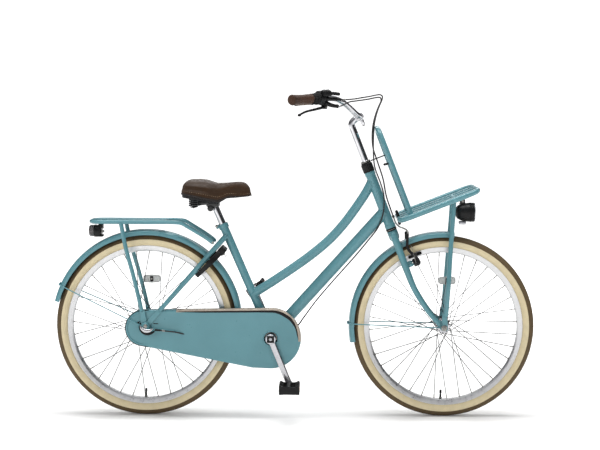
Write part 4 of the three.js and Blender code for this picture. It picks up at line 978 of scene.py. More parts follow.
# ---------- fenders
def fender(P, cx, R, a0, a1, n):
    w, t = 30.0, 1.5
    half = [(R - 19.5, w), (R - 14, w), (R - 9, w - 0.6), (R - 5, w - 4.5), (R - 2, w * 0.6), (R - 0.5, w * 0.3), (R, 0)]
    outer = spline([(r, -y) for r, y in half] + [(r, y) for r, y in half[-2::-1]], 33)
    inner = inset_open(outer, t)
    loop = np.vstack([outer, inner[::-1]])
    ang = np.radians(np.linspace(a0, a1, n))
    Q = []
    for a in ang:
        Q.append(np.stack([cx + loop[:, 0] * math.cos(a), loop[:, 1], TYRE_R + loop[:, 0] * math.sin(a)], 1))
    P.grid(np.array(Q), PAINT, w=None)
    for row in (Q[0], Q[-1]):
        m = len(outer)
        faces = [[k, k + 1, 2 * m - 2 - k, 2 * m - 1 - k] for k in range(m - 1)]
        P.put(row, faces, [[(0, 0)] * 4] * len(faces), PAINT)
    # rolled edges
    for s in (-1, 1):
        P.tube([(cx + (R - 19.3) * math.cos(a), s * (w - 0.9), TYRE_R + (R - 19.3) * math.sin(a)) for a in ang[:: max(1, n // 90)]], 1.35, PAINT, 10, curve=False)
    return ang


def inset_open(p, d):
    e = np.gradient(p, axis=0)
    e /= np.linalg.norm(e, axis=1)[:, None]
    # the left side of a profile that runs from -y to +y over the crown points to the axle
    return p + np.stack([-e[:, 1], e[:, 0]], 1) * d


P = Piece()
fender(P, 0, 344.5, 1, 165.6, 200)
c = AX + STAY * 350.5
P.rbox(c, (16, 14, 9), PAINT, [STAY, A(0, 1, 0), A(STAY[2], 0, -STAY[0])], 1.5)
P.bolt(AX + STAY * 342.3, -STAY, 4.4, 4, STEEL)
a = rad(155.3)
ra = A(math.cos(a), 0, math.sin(a))
P.bolt(AX + ra * 342.6, -ra, 3.6, 3.2, STEEL)
P.done("look_rear_fender", "frame", ["rear_fender"])
P = Piece()
fender(P, BASE, 342, 83.6, 190.1, 140)
P.tube([S(0, -52), S(0, -33.5)], 7, PAINT, 24, curve=False)
FAX = A(BASE, 0, TYRE_R)
P.bolt(S(0, -56.4), -U_DIR, 4, 3.6, STEEL)
P.done("look_front_fender", "steering", ["front_fender"])


def fender_stay(P, cx, y_eye, R, angle, reach):
    a = rad(angle)

    def at(r, y):
        return (cx + r * math.cos(a), y, TYRE_R + r * math.sin(a))

    path = [
        at(9, -y_eye), at(40, -y_eye), at(R - 60, -36 - reach), at(R - 8, -33.5), at(R + 0.5, -31.5), at(R + 3.2, -22),
        at(R + 3.2, 0), at(R + 3.2, 22), at(R + 0.5, 31.5), at(R - 8, 33.5), at(R - 60, 36 + reach), at(40, y_eye), at(9, y_eye),
    ]
    P.tube(path, 2, PAINT, 14, n=150, ends="round")
    for s in (-1, 1):
        o = A(cx, s * y_eye, TYRE_R)
        P.lathe(fil([(5.8, -1.2), (9.6, -1.2), (9.6, 1.2), (5.8, 1.2)], 0.4, 2, True), o, A(0, 1, 0), PAINT, 36, closed=True)
    # clip that holds the wire on the crown
    ra = A(math.cos(a), 0, math.sin(a))
    P.rbox(A(cx, 0, TYRE_R) + ra * (R + 3.0), (5.6, 17, 9), PAINT, [ra, A(0, 1, 0), A(-ra[2], 0, ra[0])], 1.2)


P = Piece()
fender_stay(P, 0, 80, 344.5, 155.3, 8)
P.done("look_rear_fender_stay", "frame", ["rear_fender_stay"])
P = Piece()
fender_stay(P, BASE, 57.8, 342, 178.4, 6)
P.done("look_front_fender_stay", "steering", ["front_fender_stay"])

# ---------- rear carrier
P = Piece()
rail = [
    (236, -49, 629), (222, -52, 640.5), (150, -60, 685), (128, -62, 697), (104, -62, 700), (0, -62, 700), (-110, -62, 700),
    (-160, -62, 700), (-182, -57, 700), (-196, -38, 700), (-198.5, 0, 700),
]
rail = rail + [(x, -y, z) for x, y, z in rail[-2::-1]]
P.tube(rail, 7, PAINT, 24, n=150, ends="round")
for s in (-1, 1):
    P.tube([(-88, s * 62, 698), (-70, s * 68, 612), (-42, s * 75, 512), (-20, s * 79.5, 425), (-12, s * 80.0, 390)], 7.5, PAINT, 24, n=50, ends="round")
    q = rad(-0.15 * 57.2958)
    ex = A(math.cos(q), 0, -math.sin(q))
    ez = A(math.sin(q), 0, math.cos(q))
    P.plate(
        fil([(-9.5, -37), (9.5, -37), (10, 0), (8, 34), (4, 41), (-4, 41), (-8, 34), (-10, 0)], 6, 4, True),
        -1.8, 1.8, (A(-5, s * 75.7, 353), ex, ez, A(0, -1, 0)), PAINT, 0.6,
        holes=[circle(1, -26, 5.7, 24)],
    )
    # lug where the slope meets the seatstay
    P.rbox((237, s * 47.5, 628), (14, 10, 9), PAINT, [unit(A(0.75, 0, -0.66)), A(0, 1, 0), unit(A(0.66, 0, 0.75))], 2)
    P.bolt(A(238, s * 53, 628), A(0, s, 0), 3.4, 3, STEEL)
for x in (60, -88, -150):
    P.tube([(x, -62, 700), (x, 62, 700)], 5, PAINT, 18, curve=False, n=3, ends=None)
P.plate(rect(0, 0, 268, 56, 10, 6), -1.5, 1.5, ((-62, 0, 705.8), A(1, 0, 0), A(0, 1, 0), A(0, 0, 1)), PAINT, 1.0,
        holes=[rect(-60 + 60 * k, 0, 34, 12, 6, 5) for k in (-1, 3)])
for s in (-1, 1):
    P.tube([(-190, s * 26, 706), (66, s * 26, 706)], 1.8, PAINT, 10, curve=False, n=12)
P.done("look_rear_carrier", "frame", ["rear_carrier"])

P = Piece()
o = A(-178, 0, 664)
P.lathe(fil([(0, -33), (11, -33), (18, -31.2), (20.8, -27), (21, -22), (20.6, -10), (0, -10)], 1.5, 3), o, A(1, 0, 0), LENS_SMOKE, 56)
P.lathe(fil([(19, -14), (22, -14), (22.4, -8), (20, 4), (14, 10), (0, 10)], 2, 3), o, A(1, 0, 0), BLACK, 56)
P.rbox(A(-177, 0, 664), (20, 40, 37), BLACK, None, 4)
P.rbox(A(-168, 0, 683), (16, 26, 14), BLACK, None, 2)
P.rbox(A(-172, 0, 647), (26, 30, 8), BLACK, None, 2.5)
P.rbox(A(-187, 0, 646), (5, 26, 7), REFLECT_RED, None, 1.5)
P.tube([(-168, 0, 662), (-156, 0, 662)], 4, STEEL, 16, curve=False)
P.rbox(A(-163, 0, 668), (2.4, 18, 30), STEEL, None, 0.8)
P.bolt(A(-161.5, 0, 676), A(1, 0, 0), 3.4, 3, STEEL)
P.done("look_rear_light", "frame", ["rear_light"])

# ---------- gear changer, rear axle, gear cable
P = Piece()
for s in (-1, 1):
    o = A(0, 0, TYRE_R)
    P.lathe(fil([(0, 0), (5, 0), (5, 93.2), (4.2, 94), (0, 94)], 0.3, 2), o, A(0, s, 0), STEEL, 40,
            mod=lambda i, r, h, a: 0.0)
    x, y, z = basis(A(0, s, 0))
    P.plate(circle(0, 0, 9.4, 6, 0.3), 84.4, 92, (o, x, y, z), STEEL, 0.9, holes=[circle(0, 0, 4.9, 30)])
    P.lathe(fil([(4.9, 82.6), (11.4, 82.6), (11.4, 84.3), (4.9, 84.3)], 0.4, 2), o, A(0, s, 0), STEEL, 48)
for k in range(9):
    P.lathe([(4.9, 92.0 + 0.22 * k), (5.15, 92.1 + 0.22 * k), (4.9, 92.2 + 0.22 * k)], A(0, 0, TYRE_R), A(0, 1, 0), STEEL, 32)
P.done("look_rear_axle", "frame", ["rear_axle"])

P = Piece()
o = A(0, 0, TYRE_R)
P.lathe(fil([(11.6, 83.2), (13.6, 83.2), (14.2, 86), (14.0, 90), (12.6, 92.6), (9.5, 94), (0, 94.4)], 1.2, 3), o + A(2, 0, 4), A(0, -1, 0), PAINT, 72)


def crescent(cx, cz, r, a0, a1, thick, y, flat, mat):
    """A bow round a point, thick in its middle and pointed at both ends."""
    pts = [(cx + r * math.cos(rad(a)), y, cz + r * math.sin(rad(a))) for a in np.linspace(a0, a1, 40)]
    P.tube(pts, lambda t: 0.5 + thick * math.sin(math.pi * t) ** 0.8, mat, 22, curve=False, n=60, ends="round", ref=A(0, 1, 0), ell=(flat, 1))


# the changer's bright shell, and below it a black crescent that paints the shade in the gap of the case's hub opening
crescent(11, 341, 25.0, 192, 324, 6.8, -98, 0.8, CHROME)
crescent(12.5, 338, 32.5, 203, 328, 4.6, -95, 1.2, BLACK)
P.lathe(fil([(0, 93.6), (6.6, 93.6), (7.4, 95), (6.2, 97.2), (0, 97.6)], 0.6, 2), o + A(4, 0, 6), A(0, -1, 0), STEEL, 40)
P.tube([(37, -93, 319.5), (47, -91, 318.6), (58, -89.6, 317.2)], lambda t: 4.4 - 1.2 * t, BLACK, 18, n=14)
P.done("look_gear_changer", "frame", ["gear_changer"])

gear_cable = [
    (692.9, -165, 1139.8), (705.8, -160, 1139.5), (738.4, -144, 1142.0), (763.1, -132, 1146.4), (791.5, -118, 1151.2), (817.9, -104, 1156.8),
    (832.0, -96, 1157.8), (839.6, -90, 1152.0), (838.4, -86, 1140.3), (829.7, -76, 1118.3), (820.4, -66, 1089.9), (813.1, -56, 1054.3), (810.8, -48, 1015.1),
    (810.4, -41, 966), (812.6, -36, 923.2), (817.9, -32, 894.3),
    (837.4, -28, 842.8), (849.2, -26, 801.4), (850.5, -26.5, 758.3), (843.5, -25, 718.3), (829.2, -17, 681.4), (790.6, -9, 629.5),
    (747.6, -8, 577), (658, -10, 475), (606, -22, 414), (566, -46, 362), (541, -56.5, 331), (505, -57, 319), (448, -57, 314.5),
    (300, -58.2, 302), (168, -60, 297), (140, -65.5, 301), (108, -80, 310.3), (80, -87, 314.5), (55.5, -89.6, 317.4),
]
P = Piece()
P.tube(gear_cable, 2.5, CABLE, 14, n=420, ends="flat")
cable_curve = spline(gear_cable, 400)
for k in (3, 396):
    d = cable_curve[min(k + 2, 399)] - cable_curve[k - 2]
    P.lathe(fil([(2.4, -5), (3.3, -5), (3.3, 5), (2.4, 5)], 0.4, 2), cable_curve[k], d, STEEL, 20)
gear_piece = P.done("look_gear_cable", "frame", ["gear_cable"], ride=False)
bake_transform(gear_piece)

# ---------- chain case
REAR_C, BB_C = (0.0, TYRE_R), (448.0, 286.5)
CASE_ROUNDS = ((-8, 322, 64), (395, 285, 104), (448, 286.5, 107.5))


def hull(points):
    """The outline round some points, counter-clockwise."""
    pts = sorted({(round(x, 4), round(y, 4)) for x, y in points})
    turn = lambda o, u, v: (u[0] - o[0]) * (v[1] - o[1]) - (u[1] - o[1]) * (v[0] - o[0])
    chains = []
    for seq in (pts, pts[::-1]):
        chain = []
        for q in seq:
            while len(chain) > 1 and turn(chain[-2], chain[-1], q) <= 1e-7:
                chain.pop()
            chain.append(q)
        chains += chain[:-1]
    return np.array(chains)


out = resample(hull([tuple(q) for c in CASE_ROUNDS for q in circle(*c, 360)]), 460, True)
out = np.roll(out, -int(np.argmin(out[:, 1])), 0)
P = Piece()
along_case = np.arange(len(out)) / len(out)


def strip_part(p):
    """How far inside the pale strip of painted reflection a point of the outline is: 0 outside it."""
    if p[1] > 372:
        return float(np.clip((p[0] - 112) / 14, 0, 1))
    if p[0] > 448 and p[1] > 276:
        return float(np.clip((p[1] - 276) / 16, 0, 1))
    return 0.0


def bead_width(p):
    """Width of the dark bead, widest at the front upper corner."""
    if p[1] > 372 and p[0] < 470:
        return float(np.interp(p[0], [112, 130, 200, 400, 470], [0, 2.8, 5.6, 7.2, 9.0]))
    if p[0] > 440 and p[1] > 276:
        return float(np.interp(p[1], [276, 300, 330, 355, 378, 395], [0, 3.6, 5.6, 10.0, 12.0, 9.0]))
    return 0.0


CASE = [(9, 68), (5.5, 68), (3.2, 67.5), (1.3, 66.2), (0.3, 64.3), (0, 62), (0, 44.2), (2, 44.2), (2, 63), (5, 66), (9, 66)]
# along its upper and front stretch the rounded outer edge takes the pale colour of the painted reflection
P.skirt(out, CASE, XZ, PAINT, matij=lambda i, j: PAINTED_REFLECTION if (0 <= i <= 5 and strip_part(out[j]) > 0) else PAINT)
holes = [circle(*REAR_C, 21, 56)[::-1], circle(*BB_C, 23, 64)[::-1]]
P.cap(inset(out, 9), 68, XZ, PAINT, holes)
P.cap(inset(out, 9), 66, XZ, PAINT, holes)
for h in holes:
    P.skirt(h, [(0.6, 68), (0.0, 67.4), (0, 66)], XZ, PAINT)
    P.skirt(h, [(0, 68), (0.6, 68)], XZ, PAINT)
zone = [k for k in range(len(out)) if strip_part(out[k]) > 0]
inner_line = inset(out, 1.0)
depth_of = {k: inner_line[k] - out[k] for k in zone}
start_of = []
for k in zone:
    turn = math.degrees(math.atan2(out[k][1] - 286.5, out[k][0] - 448))
    start_of.append(float(np.interp(turn, [-5, 10, 26, 44, 66, 92], [8.5, 9.5, 7.0, 3.2, 4.4, 5.6])))
# the pale strip's flat part, a painted reflection of the overhead light on the case's edge, and the dark bead just
# inside it
for lo, hi, mat, rise in ((None, None, PAINTED_REFLECTION, 0.35), (0, 1, BLACK, 1.5)):
    rows = []
    for q in np.linspace(0, 1, 7):
        row = []
        for k, st in zip(zone, start_of):
            w = max(bead_width(out[k]), 0.02)
            d = st * q if lo is None else st + w * q
            if lo is None:
                d = 3.0 + max(st - 3.0 + 0.6, 0.2) * q
            at = out[k] + depth_of[k] * d
            row.append((at[0], -68.05 - rise * math.sin(math.pi * q) ** 0.6 * min(1, w / 2), at[1]))
        rows.append(row)
    P.grid(np.array(rows), mat, cj=False)
# raised lip round the rear end, with a black line outside it that paints the shadow along the lip's outer edge
rear_zone = [k for k in range(len(out)) if out[k][0] < 14]
ins = inset(out, 6.5)
lip = [(ins[k][0], -67.6, ins[k][1]) for k in rear_zone]
P.tube(lip, lambda t: 3.6 * min(1, 0.2 + 5 * t, 0.2 + 5 * (1 - t)), PAINT, 16, n=120, ends="round")
ins = inset(out, 0.6)
line = [(ins[k][0], -66.4, ins[k][1]) for k in rear_zone]
P.tube(line, 1.2, BLACK, 10, n=120, ends="round")
# pressed rings round the hub opening and the crank's
ring = circle(*REAR_C, 24.5, 72)
P.tube([(q[0], -67.6, q[1]) for q in ring], 2.0, PAINT, 12, n=72, closed=True)
ring = circle(*BB_C, 25.5, 72)
P.tube([(q[0], -67.6, q[1]) for q in ring], 1.6, PAINT, 12, n=72, closed=True)
# slots of the rear end: thin black pads on the face paint the shade inside them
P.rbox(A(38, -68.0, 338.4), (17, 3.4, 0.7), BLACK, [A(1, 0, -0.05), A(0.05, 0, 1), A(0, -1, 0)], 0.3)
P.rbox(A(-22.4, -68.4, 341), (11, 9, 1.6), BLACK, [A(1, 0, 0.3) / 1.044, A(-0.3, 0, 1) / 1.044, A(0, -1, 0)], 0.6)
P.done("look_chain_case_outer", "frame", ["chain_case_outer"], angle=30)

P = Piece()
inner = [(9, -33), (3, -33), (0.6, -34.2), (0, -36.5), (0, -43.8), (2, -43.8), (2, -37), (4, -35), (9, -35)]
P.skirt(out, [(d, -c) for d, c in inner], XZ, PAINT)
holes = [circle(*REAR_C, 30, 56)[::-1], circle(*BB_C, 22, 56)[::-1]]
P.cap(inset(out, 9), 33, XZ, PAINT, holes)
P.cap(inset(out, 9), 35, XZ, PAINT, holes)
for h in holes:
    P.skirt(h, [(0, 33), (0, 35)], XZ, PAINT)
P.skirt(out, [(-0.5, 42.8), (-0.5, 45.4), (0.6, 45.4), (0.6, 42.8)], XZ, BLACK, closed=True)
P.done("look_chain_case_inner", "frame", ["chain_case_inner"], angle=30)

# ---------- chain, chainring, sprocket
P = Piece()
mid = belt(REAR_C, 33.5 + 2.6, BB_C, 74.5 + 3.1, 40)
length = np.linalg.norm(np.diff(np.vstack([mid, mid[:1]]), axis=0), axis=1).sum()
links = int(round(length / 12.7 / 2) * 2)
pts = resample(mid, links, True)
for k in range(links):
    a, b = pts[k], pts[(k + 1) % links]
    c = (a + b) / 2
    e = unit(np.append(b - a, 0))[:2]
    L = np.linalg.norm(b - a)
    yoff = 3.1 if k % 2 else 1.9
    link = fil([(-L / 2 - 3.4, 0), (-L / 2 - 2, 3.4), (-L / 2 + 2, 3.4), (0, 2.5), (L / 2 - 2, 3.4), (L / 2 + 2, 3.4), (L / 2 + 3.4, 0), (L / 2 + 2, -3.4), (L / 2 - 2, -3.4), (0, -2.5), (-L / 2 + 2, -3.4), (-L / 2 - 2, -3.4)], 1.4, 1, True)
    fr = (A(c[0], -45, c[1]), A(e[0], 0, e[1]), A(-e[1], 0, e[0]), A(0, -1, 0))
    for s in (-1, 1):
        lo, hi = sorted((s * yoff, s * (yoff - 1.0)))
        P.plate(link, lo, hi, fr, DARK_STEEL, 0.2)
    P.tube([(a[0], -48.2, a[1]), (a[0], -41.8, a[1])], 2.0, DARK_STEEL, 8, curve=False)
P.done("look_chain", "frame", ["chain"])


def toothed(cx, cz, r, teeth, tooth=3.4):
    n = teeth * 10
    a = np.arange(n) / n * 2 * math.pi
    return np.stack([cx + (r + tooth * (0.5 + 0.5 * np.cos(a * teeth)) ** 0.8 - tooth) * np.cos(a), cz + (r + tooth * (0.5 + 0.5 * np.cos(a * teeth)) ** 0.8 - tooth) * np.sin(a)], 1)


P = Piece()
P.plate(toothed(448, 286.5, 77.2, 38), 43.6, 46.4, XZ, STEEL, 0.5,
        holes=[circle(448 + 46 * math.cos(rad(72 * k)), 286.5 + 46 * math.sin(rad(72 * k)), 16, 30) for k in range(5)] + [circle(448, 286.5, 9.0, 24)])
P.lathe(fil([(9, 40.5), (26, 40.5), (26, 49.5), (9, 49.5)], 0.8, 2, True), BB, A(0, -1, 0), STEEL, 40, closed=True)
P.done("look_chainring", "crankset", ["chainring"])
P = Piece()
P.plate(toothed(0, TYRE_R, 35.8, 17), 43.7, 46.3, XZ, DARK_STEEL, 0.5, holes=[circle(0, TYRE_R, 16.2, 36)])
P.done("look_rear_sprocket", "sprocket", ["rear_sprocket"])

# ---------- ring lock
LN = A(0.750, 0, -0.661)  # front of the lock's plane
LO = AX + LN * 22.6
LF = (LO, STAY, A(0, 1, 0), -LN)  # outwards, left, backwards


def lock_pt(r, deg, z=0.0, c=318.0):
    return LO + STAY * (c + r * math.cos(rad(deg))) + A(0, 1, 0) * (r * math.sin(rad(deg))) - LN * z


P = Piece()
angles = np.linspace(-150, 150, 110)
sec = fil([(51, -8), (73, -8), (73, 8), (51, 8)], 3.0, 4, True)


def heavier(a):
    return 1.0 + 0.42 * max(0.0, 1 - abs(a) / 118.0) ** 0.6


Q = [[lock_pt(r + 3.0 * max(0.0, abs(a) - 60) / 90, a, z * heavier(a) + 0.6 * max(0.0, abs(a) - 60) / 10) for r, z in sec] for a in angles]
P.grid(np.array(Q), BLACK)
for row in (Q[0], Q[-1]):
    P.put(np.array(row), [list(range(len(row)))], [[(0, 0)] * len(row)], BLACK)
hx = 318 + 62
house = fil([(hx - 13.5, -46), (hx + 11, -46), (hx + 13.5, -38), (hx + 13.5, 38), (hx + 11, 46), (hx - 13.5, 46)], 5, 4, True)
P.plate(house, -13.5, 10.5, LF, BLACK, 2.6)
P.plate(fil([(hx - 9, -30), (hx + 9, -30), (hx + 9, 24), (hx - 9, 24)], 4, 4, True), -14.4, -13, LF, BLACK_SOFT, 0.5)
# key barrel with the key left in
kc = LO + STAY * 368 + A(0, 36, 0) + LN * 10
P.lathe(fil([(0, -7), (7, -7), (7, 6), (5.8, 7.6), (0, 7.6)], 0.8, 3), kc, LN, STEEL, 40)
P.plate(rect(0, 0, 2.0, 11, 0.8), 7.4, 12, (kc, STAY, A(0, 1, 0), LN), STEEL, 0.4)
ring = [kc + LN * 15.5 + A(0, 6.4 * math.cos(a), 0) + STAY * 5.4 * math.sin(a) for a in np.linspace(0, 2 * math.pi, 30, endpoint=False)]
P.tube([tuple(q) for q in ring], 1.0, STEEL, 10, n=40, closed=True)
for a in (-120, -60, 60, 120):
    P.bolt(lock_pt(62, a, -8.2), LN, 3.0, 2.2, STEEL, "socket", BLACK)
# rubber-lined straps to the stays
for s in (-1, 1):
    P.rbox(LO + STAY * 345 + A(0, s * 47, 0) + LN * -14, (22, 9, 12), BLACK_SOFT, [STAY, A(0, 1, 0), -LN], 2)
P.done("look_lock_body", "frame", ["lock_body"])
P = Piece()
P.tube([lock_pt(62, a) for a in np.linspace(50, 140.5, 40)], 4.2, STEEL, 20, curve=False, ends="round")
P.rbox(lock_pt(71.5, 67.5), (19, 9, 4.6), BLACK, [unit(lock_pt(72, 67.5) - lock_pt(60, 67.5)), unit(lock_pt(70, 68) - lock_pt(70, 67)), -LN], 1.5)
P.done("look_lock_shackle", "lock_bolt", ["lock_shackle"])


# ---------- wheels
def tread_height(r, y, a):
    """Cut of the tread at that place, in mm: a centre rib, zigzag grooves and side blocks."""
    zig = np.abs(((a * 62 / (2 * math.pi)) % 1) * 2 - 1)
    cutd = np.zeros_like(a)
    ay = abs(y)
    near = 1.0 if ay < 20 else 0.0
    groove = np.where(np.abs(ay - (5.2 + 1.8 * zig)) < 1.5, 1.0, 0.0)
    block = np.where((ay > 9.5) & (ay < 19.5) & ((((a * 124 / (2 * math.pi)) + ay * 0.05) % 1) < 0.2), 0.9, 0.0)
    return near * np.maximum(groove, block)


def tyre_piece(name, body, node, cx):
    P = Piece()
    outer = spline([(278, -10.3), (284, -12), (291, -18.0), (300, -22.8), (307, -23.4), (313, -20.6), (319, -15.5), (324, -9.8), (326.6, -4), (327, 0),
                    (326.6, 4), (324, 9.8), (319, 15.5), (313, 20.6), (307, 23.4), (300, 22.8), (291, 18.0), (284, 12), (278, 10.3)], 74)
    inner = spline([(278, 9.2), (287, 11), (302, 19), (313, 16), (319, 0), (313, -16), (302, -19), (287, -11), (278, -9.2)], 20)
    prof = np.vstack([outer, inner])

    def mod(i, r, h, a):
        if i >= len(outer) or r < 312:
            return 0.0
        return -tread_height(r, h, a)

    def which(i, j):
        if i >= len(outer) - 1:
            return TREAD
        r = (prof[i][0] + prof[i + 1][0]) / 2
        return WALL if 285.5 < r < 308.5 else TREAD

    P.lathe(prof, A(cx, 0, TYRE_R), A(0, 1, 0), TREAD, 620, closed=True, matij=which, mod=mod)
    # moulded lines on both sidewalls
    for s in (-1, 1):
        for r, y in ((289.2, 17.3), (309.2, 22.9)):
            P.lathe(fil([(r - 0.9, -0.3), (r - 0.3, 0.5), (r + 0.3, 0.5), (r + 0.9, -0.3)], 0.2, 1), A(cx, s * y, TYRE_R), A(0, s, 0), TREAD if r > 300 else WALL, 240)
    return P.done(name, body, [node], angle=30)


tyre_piece("look_rear_tyre", "rear_wheel", "rear_tyre", 0)
tyre_piece("look_front_tyre", "front_wheel", "front_tyre", BASE)

PHASE = {"rear": 8.5, "front": 3.4}
HUB = {"rear": (38, 28.5), "front": (24, 29.5)}


def wheel_rim(name, body, node, cx, valve, which):
    P = Piece()
    prof = fil([(265.4, -7), (265.4, 7), (267.4, 9.8), (272, 12.2), (280, 13.4), (285.3, 14.5), (286.2, 13.6), (285.6, 12.6), (281.5, 11.4), (277.6, 8.5), (275.5, 0),
                (277.6, -8.5), (281.5, -11.4), (285.6, -12.6), (286.2, -13.6), (285.3, -14.5), (280, -13.4), (272, -12.2), (267.4, -9.8)], 1.0, 2, True)
    P.lathe(prof[::-1], A(cx, 0, TYRE_R), A(0, 1, 0), RIM_ALLOY, 300, closed=True)
    a = rad(valve)
    d = A(math.cos(a), 0, math.sin(a))
    o = A(cx, 0, TYRE_R)
    P.lathe(fil([(0, 0), (4.6, 0), (4.6, 3), (3.2, 3.4), (3.2, 17), (2.6, 17.4), (2.6, 20), (4.0, 20.6), (4.0, 30), (2.6, 32.4), (0, 32.4)], 0.4, 2), o + d * 266, -d, BLACK_SOFT, 28)
    P.lathe(fil([(2.5, 2.8), (5.6, 2.8), (5.6, 5.6), (2.5, 5.6)], 0.4, 2), o + d * 266, -d, STEEL, 24)
    # eyelets
    ph = PHASE[which]
    for side in range(2):
        for i in range(18):
            e = rad(i * 20 + side * 10 + ph + (60 if i % 2 == 0 else -60))
            s = 1 if side else -1
            dd = A(math.cos(e), 0, math.sin(e))
            P.lathe(fil([(1.9, 0), (3.4, 0), (3.1, 0.9), (1.9, 1.2)], 0.3, 1), o + dd * 265.5 + A(0, s * 0.4, 0), -dd, STEEL, 12)
    return P.done(name, body, [node], angle=30)


wheel_rim("look_rear_rim", "rear_wheel", "rear_rim", 0, -91.0, "rear")
wheel_rim("look_front_rim", "front_wheel", "front_rim", BASE, -91.6, "front")


def wheel_spokes(name, body, node, cx, which):
    P = Piece()
    R, Y = HUB[which]
    ph = PHASE[which]
    o = A(cx, 0, TYRE_R)
    for side in range(2):
        for i in range(18):
            lead = 60 if i % 2 == 0 else -60
            hub, end = rad(i * 20 + side * 10 + ph), rad(i * 20 + side * 10 + ph + lead)
            s = 1 if side else -1
            out_ = 1.7 if lead > 0 else -1.7
            y = s * (Y + out_)
            a = o + A((R + 1.2) * math.cos(hub), y, (R + 1.2) * math.sin(hub))
            hole = o + A((R - 2.6) * math.cos(hub), s * Y, (R - 2.6) * math.sin(hub))
            b = o + A(264.6 * math.cos(end), s * 0.4, 264.6 * math.sin(end))
            d = unit(b - a)
            head = hole - A(0, s * math.copysign(2.4, out_), 0)
            P.tube([head, hole, a * 0.75 + hole * 0.25 + A(0, s * out_ * 0.2, 0), a + d * 4], 1.25, SPOKE, 8, n=10, ends="round")
            P.tube([a + d * 3, b - d * 10], 1.25, SPOKE, 8, curve=False, n=2, ends=None)
            P.lathe([(0, -0.4), (1.9, -0.2), (1.7, 0.6), (0, 1.0)], head, A(0, -s * math.copysign(1, out_), 0), SPOKE, 10)
            P.lathe([(1.0, 0), (1.9, 0.4), (1.9, 3.4), (1.6, 3.8), (1.6, 12.5)], b - d * 12.5, d, BRASS, 10)
    return P.done(name, body, [node], angle=40)


wheel_spokes("look_rear_spokes", "rear_wheel", "rear_spokes", 0, "rear")
wheel_spokes("look_front_spokes", "front_wheel", "front_spokes", BASE, "front")

P = Piece()
o = A(0, 0, TYRE_R)
P.lathe(fil([(5.6, -52), (15.4, -52), (15.4, -38), (24, -37), (27, -30.5), (37.6, -30), (38.6, -28.5), (37.6, -27), (32, -25), (30.6, -22), (30.6, 22), (32, 25),
             (37.6, 27), (38.6, 28.5), (37.6, 30), (28, 30.5), (25, 35), (22, 40), (19, 50), (18, 56), (14, 56.4), (5.6, 56.4)], 1.1, 3), o, A(0, 1, 0), ALLOY, 96)
P.lathe(fil([(5.6, 56.2), (13, 56.2), (13, 59.4), (5.6, 59.4)], 0.4, 2), o, A(0, 1, 0), STEEL, 48)
P.done("look_rear_hub", "rear_wheel", ["rear_hub"])
P = Piece()
o = A(BASE, 0, TYRE_R)
P.lathe(fil([(5.6, -47), (10, -47), (11, -45), (12, -36), (14, -32), (23.4, -31), (24.4, -29.5), (23.4, -28), (16.5, -25.6), (14.2, -22), (14.2, 22), (16.5, 25.6),
             (23.4, 28), (24.4, 29.5), (23.4, 31), (14, 32), (12, 36), (11, 45), (10, 47), (5.6, 47)], 1.0, 3), o, A(0, 1, 0), ALLOY_BRIGHT, 80)
for s in (-1, 1):
    P.lathe(fil([(5, 46), (9.2, 46), (9.2, 48.8), (5, 48.8)], 0.4, 2), o, A(0, s, 0), BLACK_SOFT, 40)
P.done("look_front_hub", "front_wheel", ["front_hub"])


def reflector(name, body, node, cx, x, z, tilt=0.0):
    P = Piece()
    c = A(cx + x, -4.2, TYRE_R + z)
    ang = math.atan2(z, x)
    e = A(-math.sin(ang), 0, math.cos(ang))
    r = A(math.cos(ang), 0, math.sin(ang))
    e = A(1, 0, 0)
    r = A(0, 0, 1)
    outl = fil([(-31, -8), (-26, -13), (0, -15), (26, -13), (31, -8), (31, 8), (26, 13), (0, 15), (-26, 13), (-31, 8)], 5, 4, True)
    P.plate(outl, -3.4, 3.4, (c, e, r, A(0, -1, 0)), REFLECT_CLEAR, 1.2)
    P.skirt(inset(outl, 2.4), [(0, 3.2), (0.4, 4.0), (1.6, 4.0), (2.0, 3.2)], (c, e, r, A(0, -1, 0)), REFLECT_CLEAR, closed=True)
    P.rbox(c, (12, 20, 9), BLACK, [e, r, A(0, 1, 0)], 1.5)
    P.bolt(c + A(0, -4.4, 0), A(0, -1, 0), 2.2, 1.6, STEEL)
    return P.done(name, body, [node])


reflector("look_rear_reflector", "rear_wheel", "rear_reflector", 0, 16, 165)
reflector("look_front_reflector", "front_wheel", "front_reflector", BASE, 13, 164)

# ---------- cranks and pedals
P = Piece()
P.lathe(fil([(0, 0), (8.6, 0), (8.6, 62.6), (7.8, 63.4), (0, 63.4)], 0.4, 2), BB, A(0, 1, 0), STEEL, 40)
P.lathe(fil([(0, 0), (8.6, 0), (8.6, 62.6), (7.8, 63.4), (0, 63.4)], 0.4, 2), BB, A(0, -1, 0), STEEL, 40)
P.done("look_crank_axle", "crankset", ["crank_axle"])


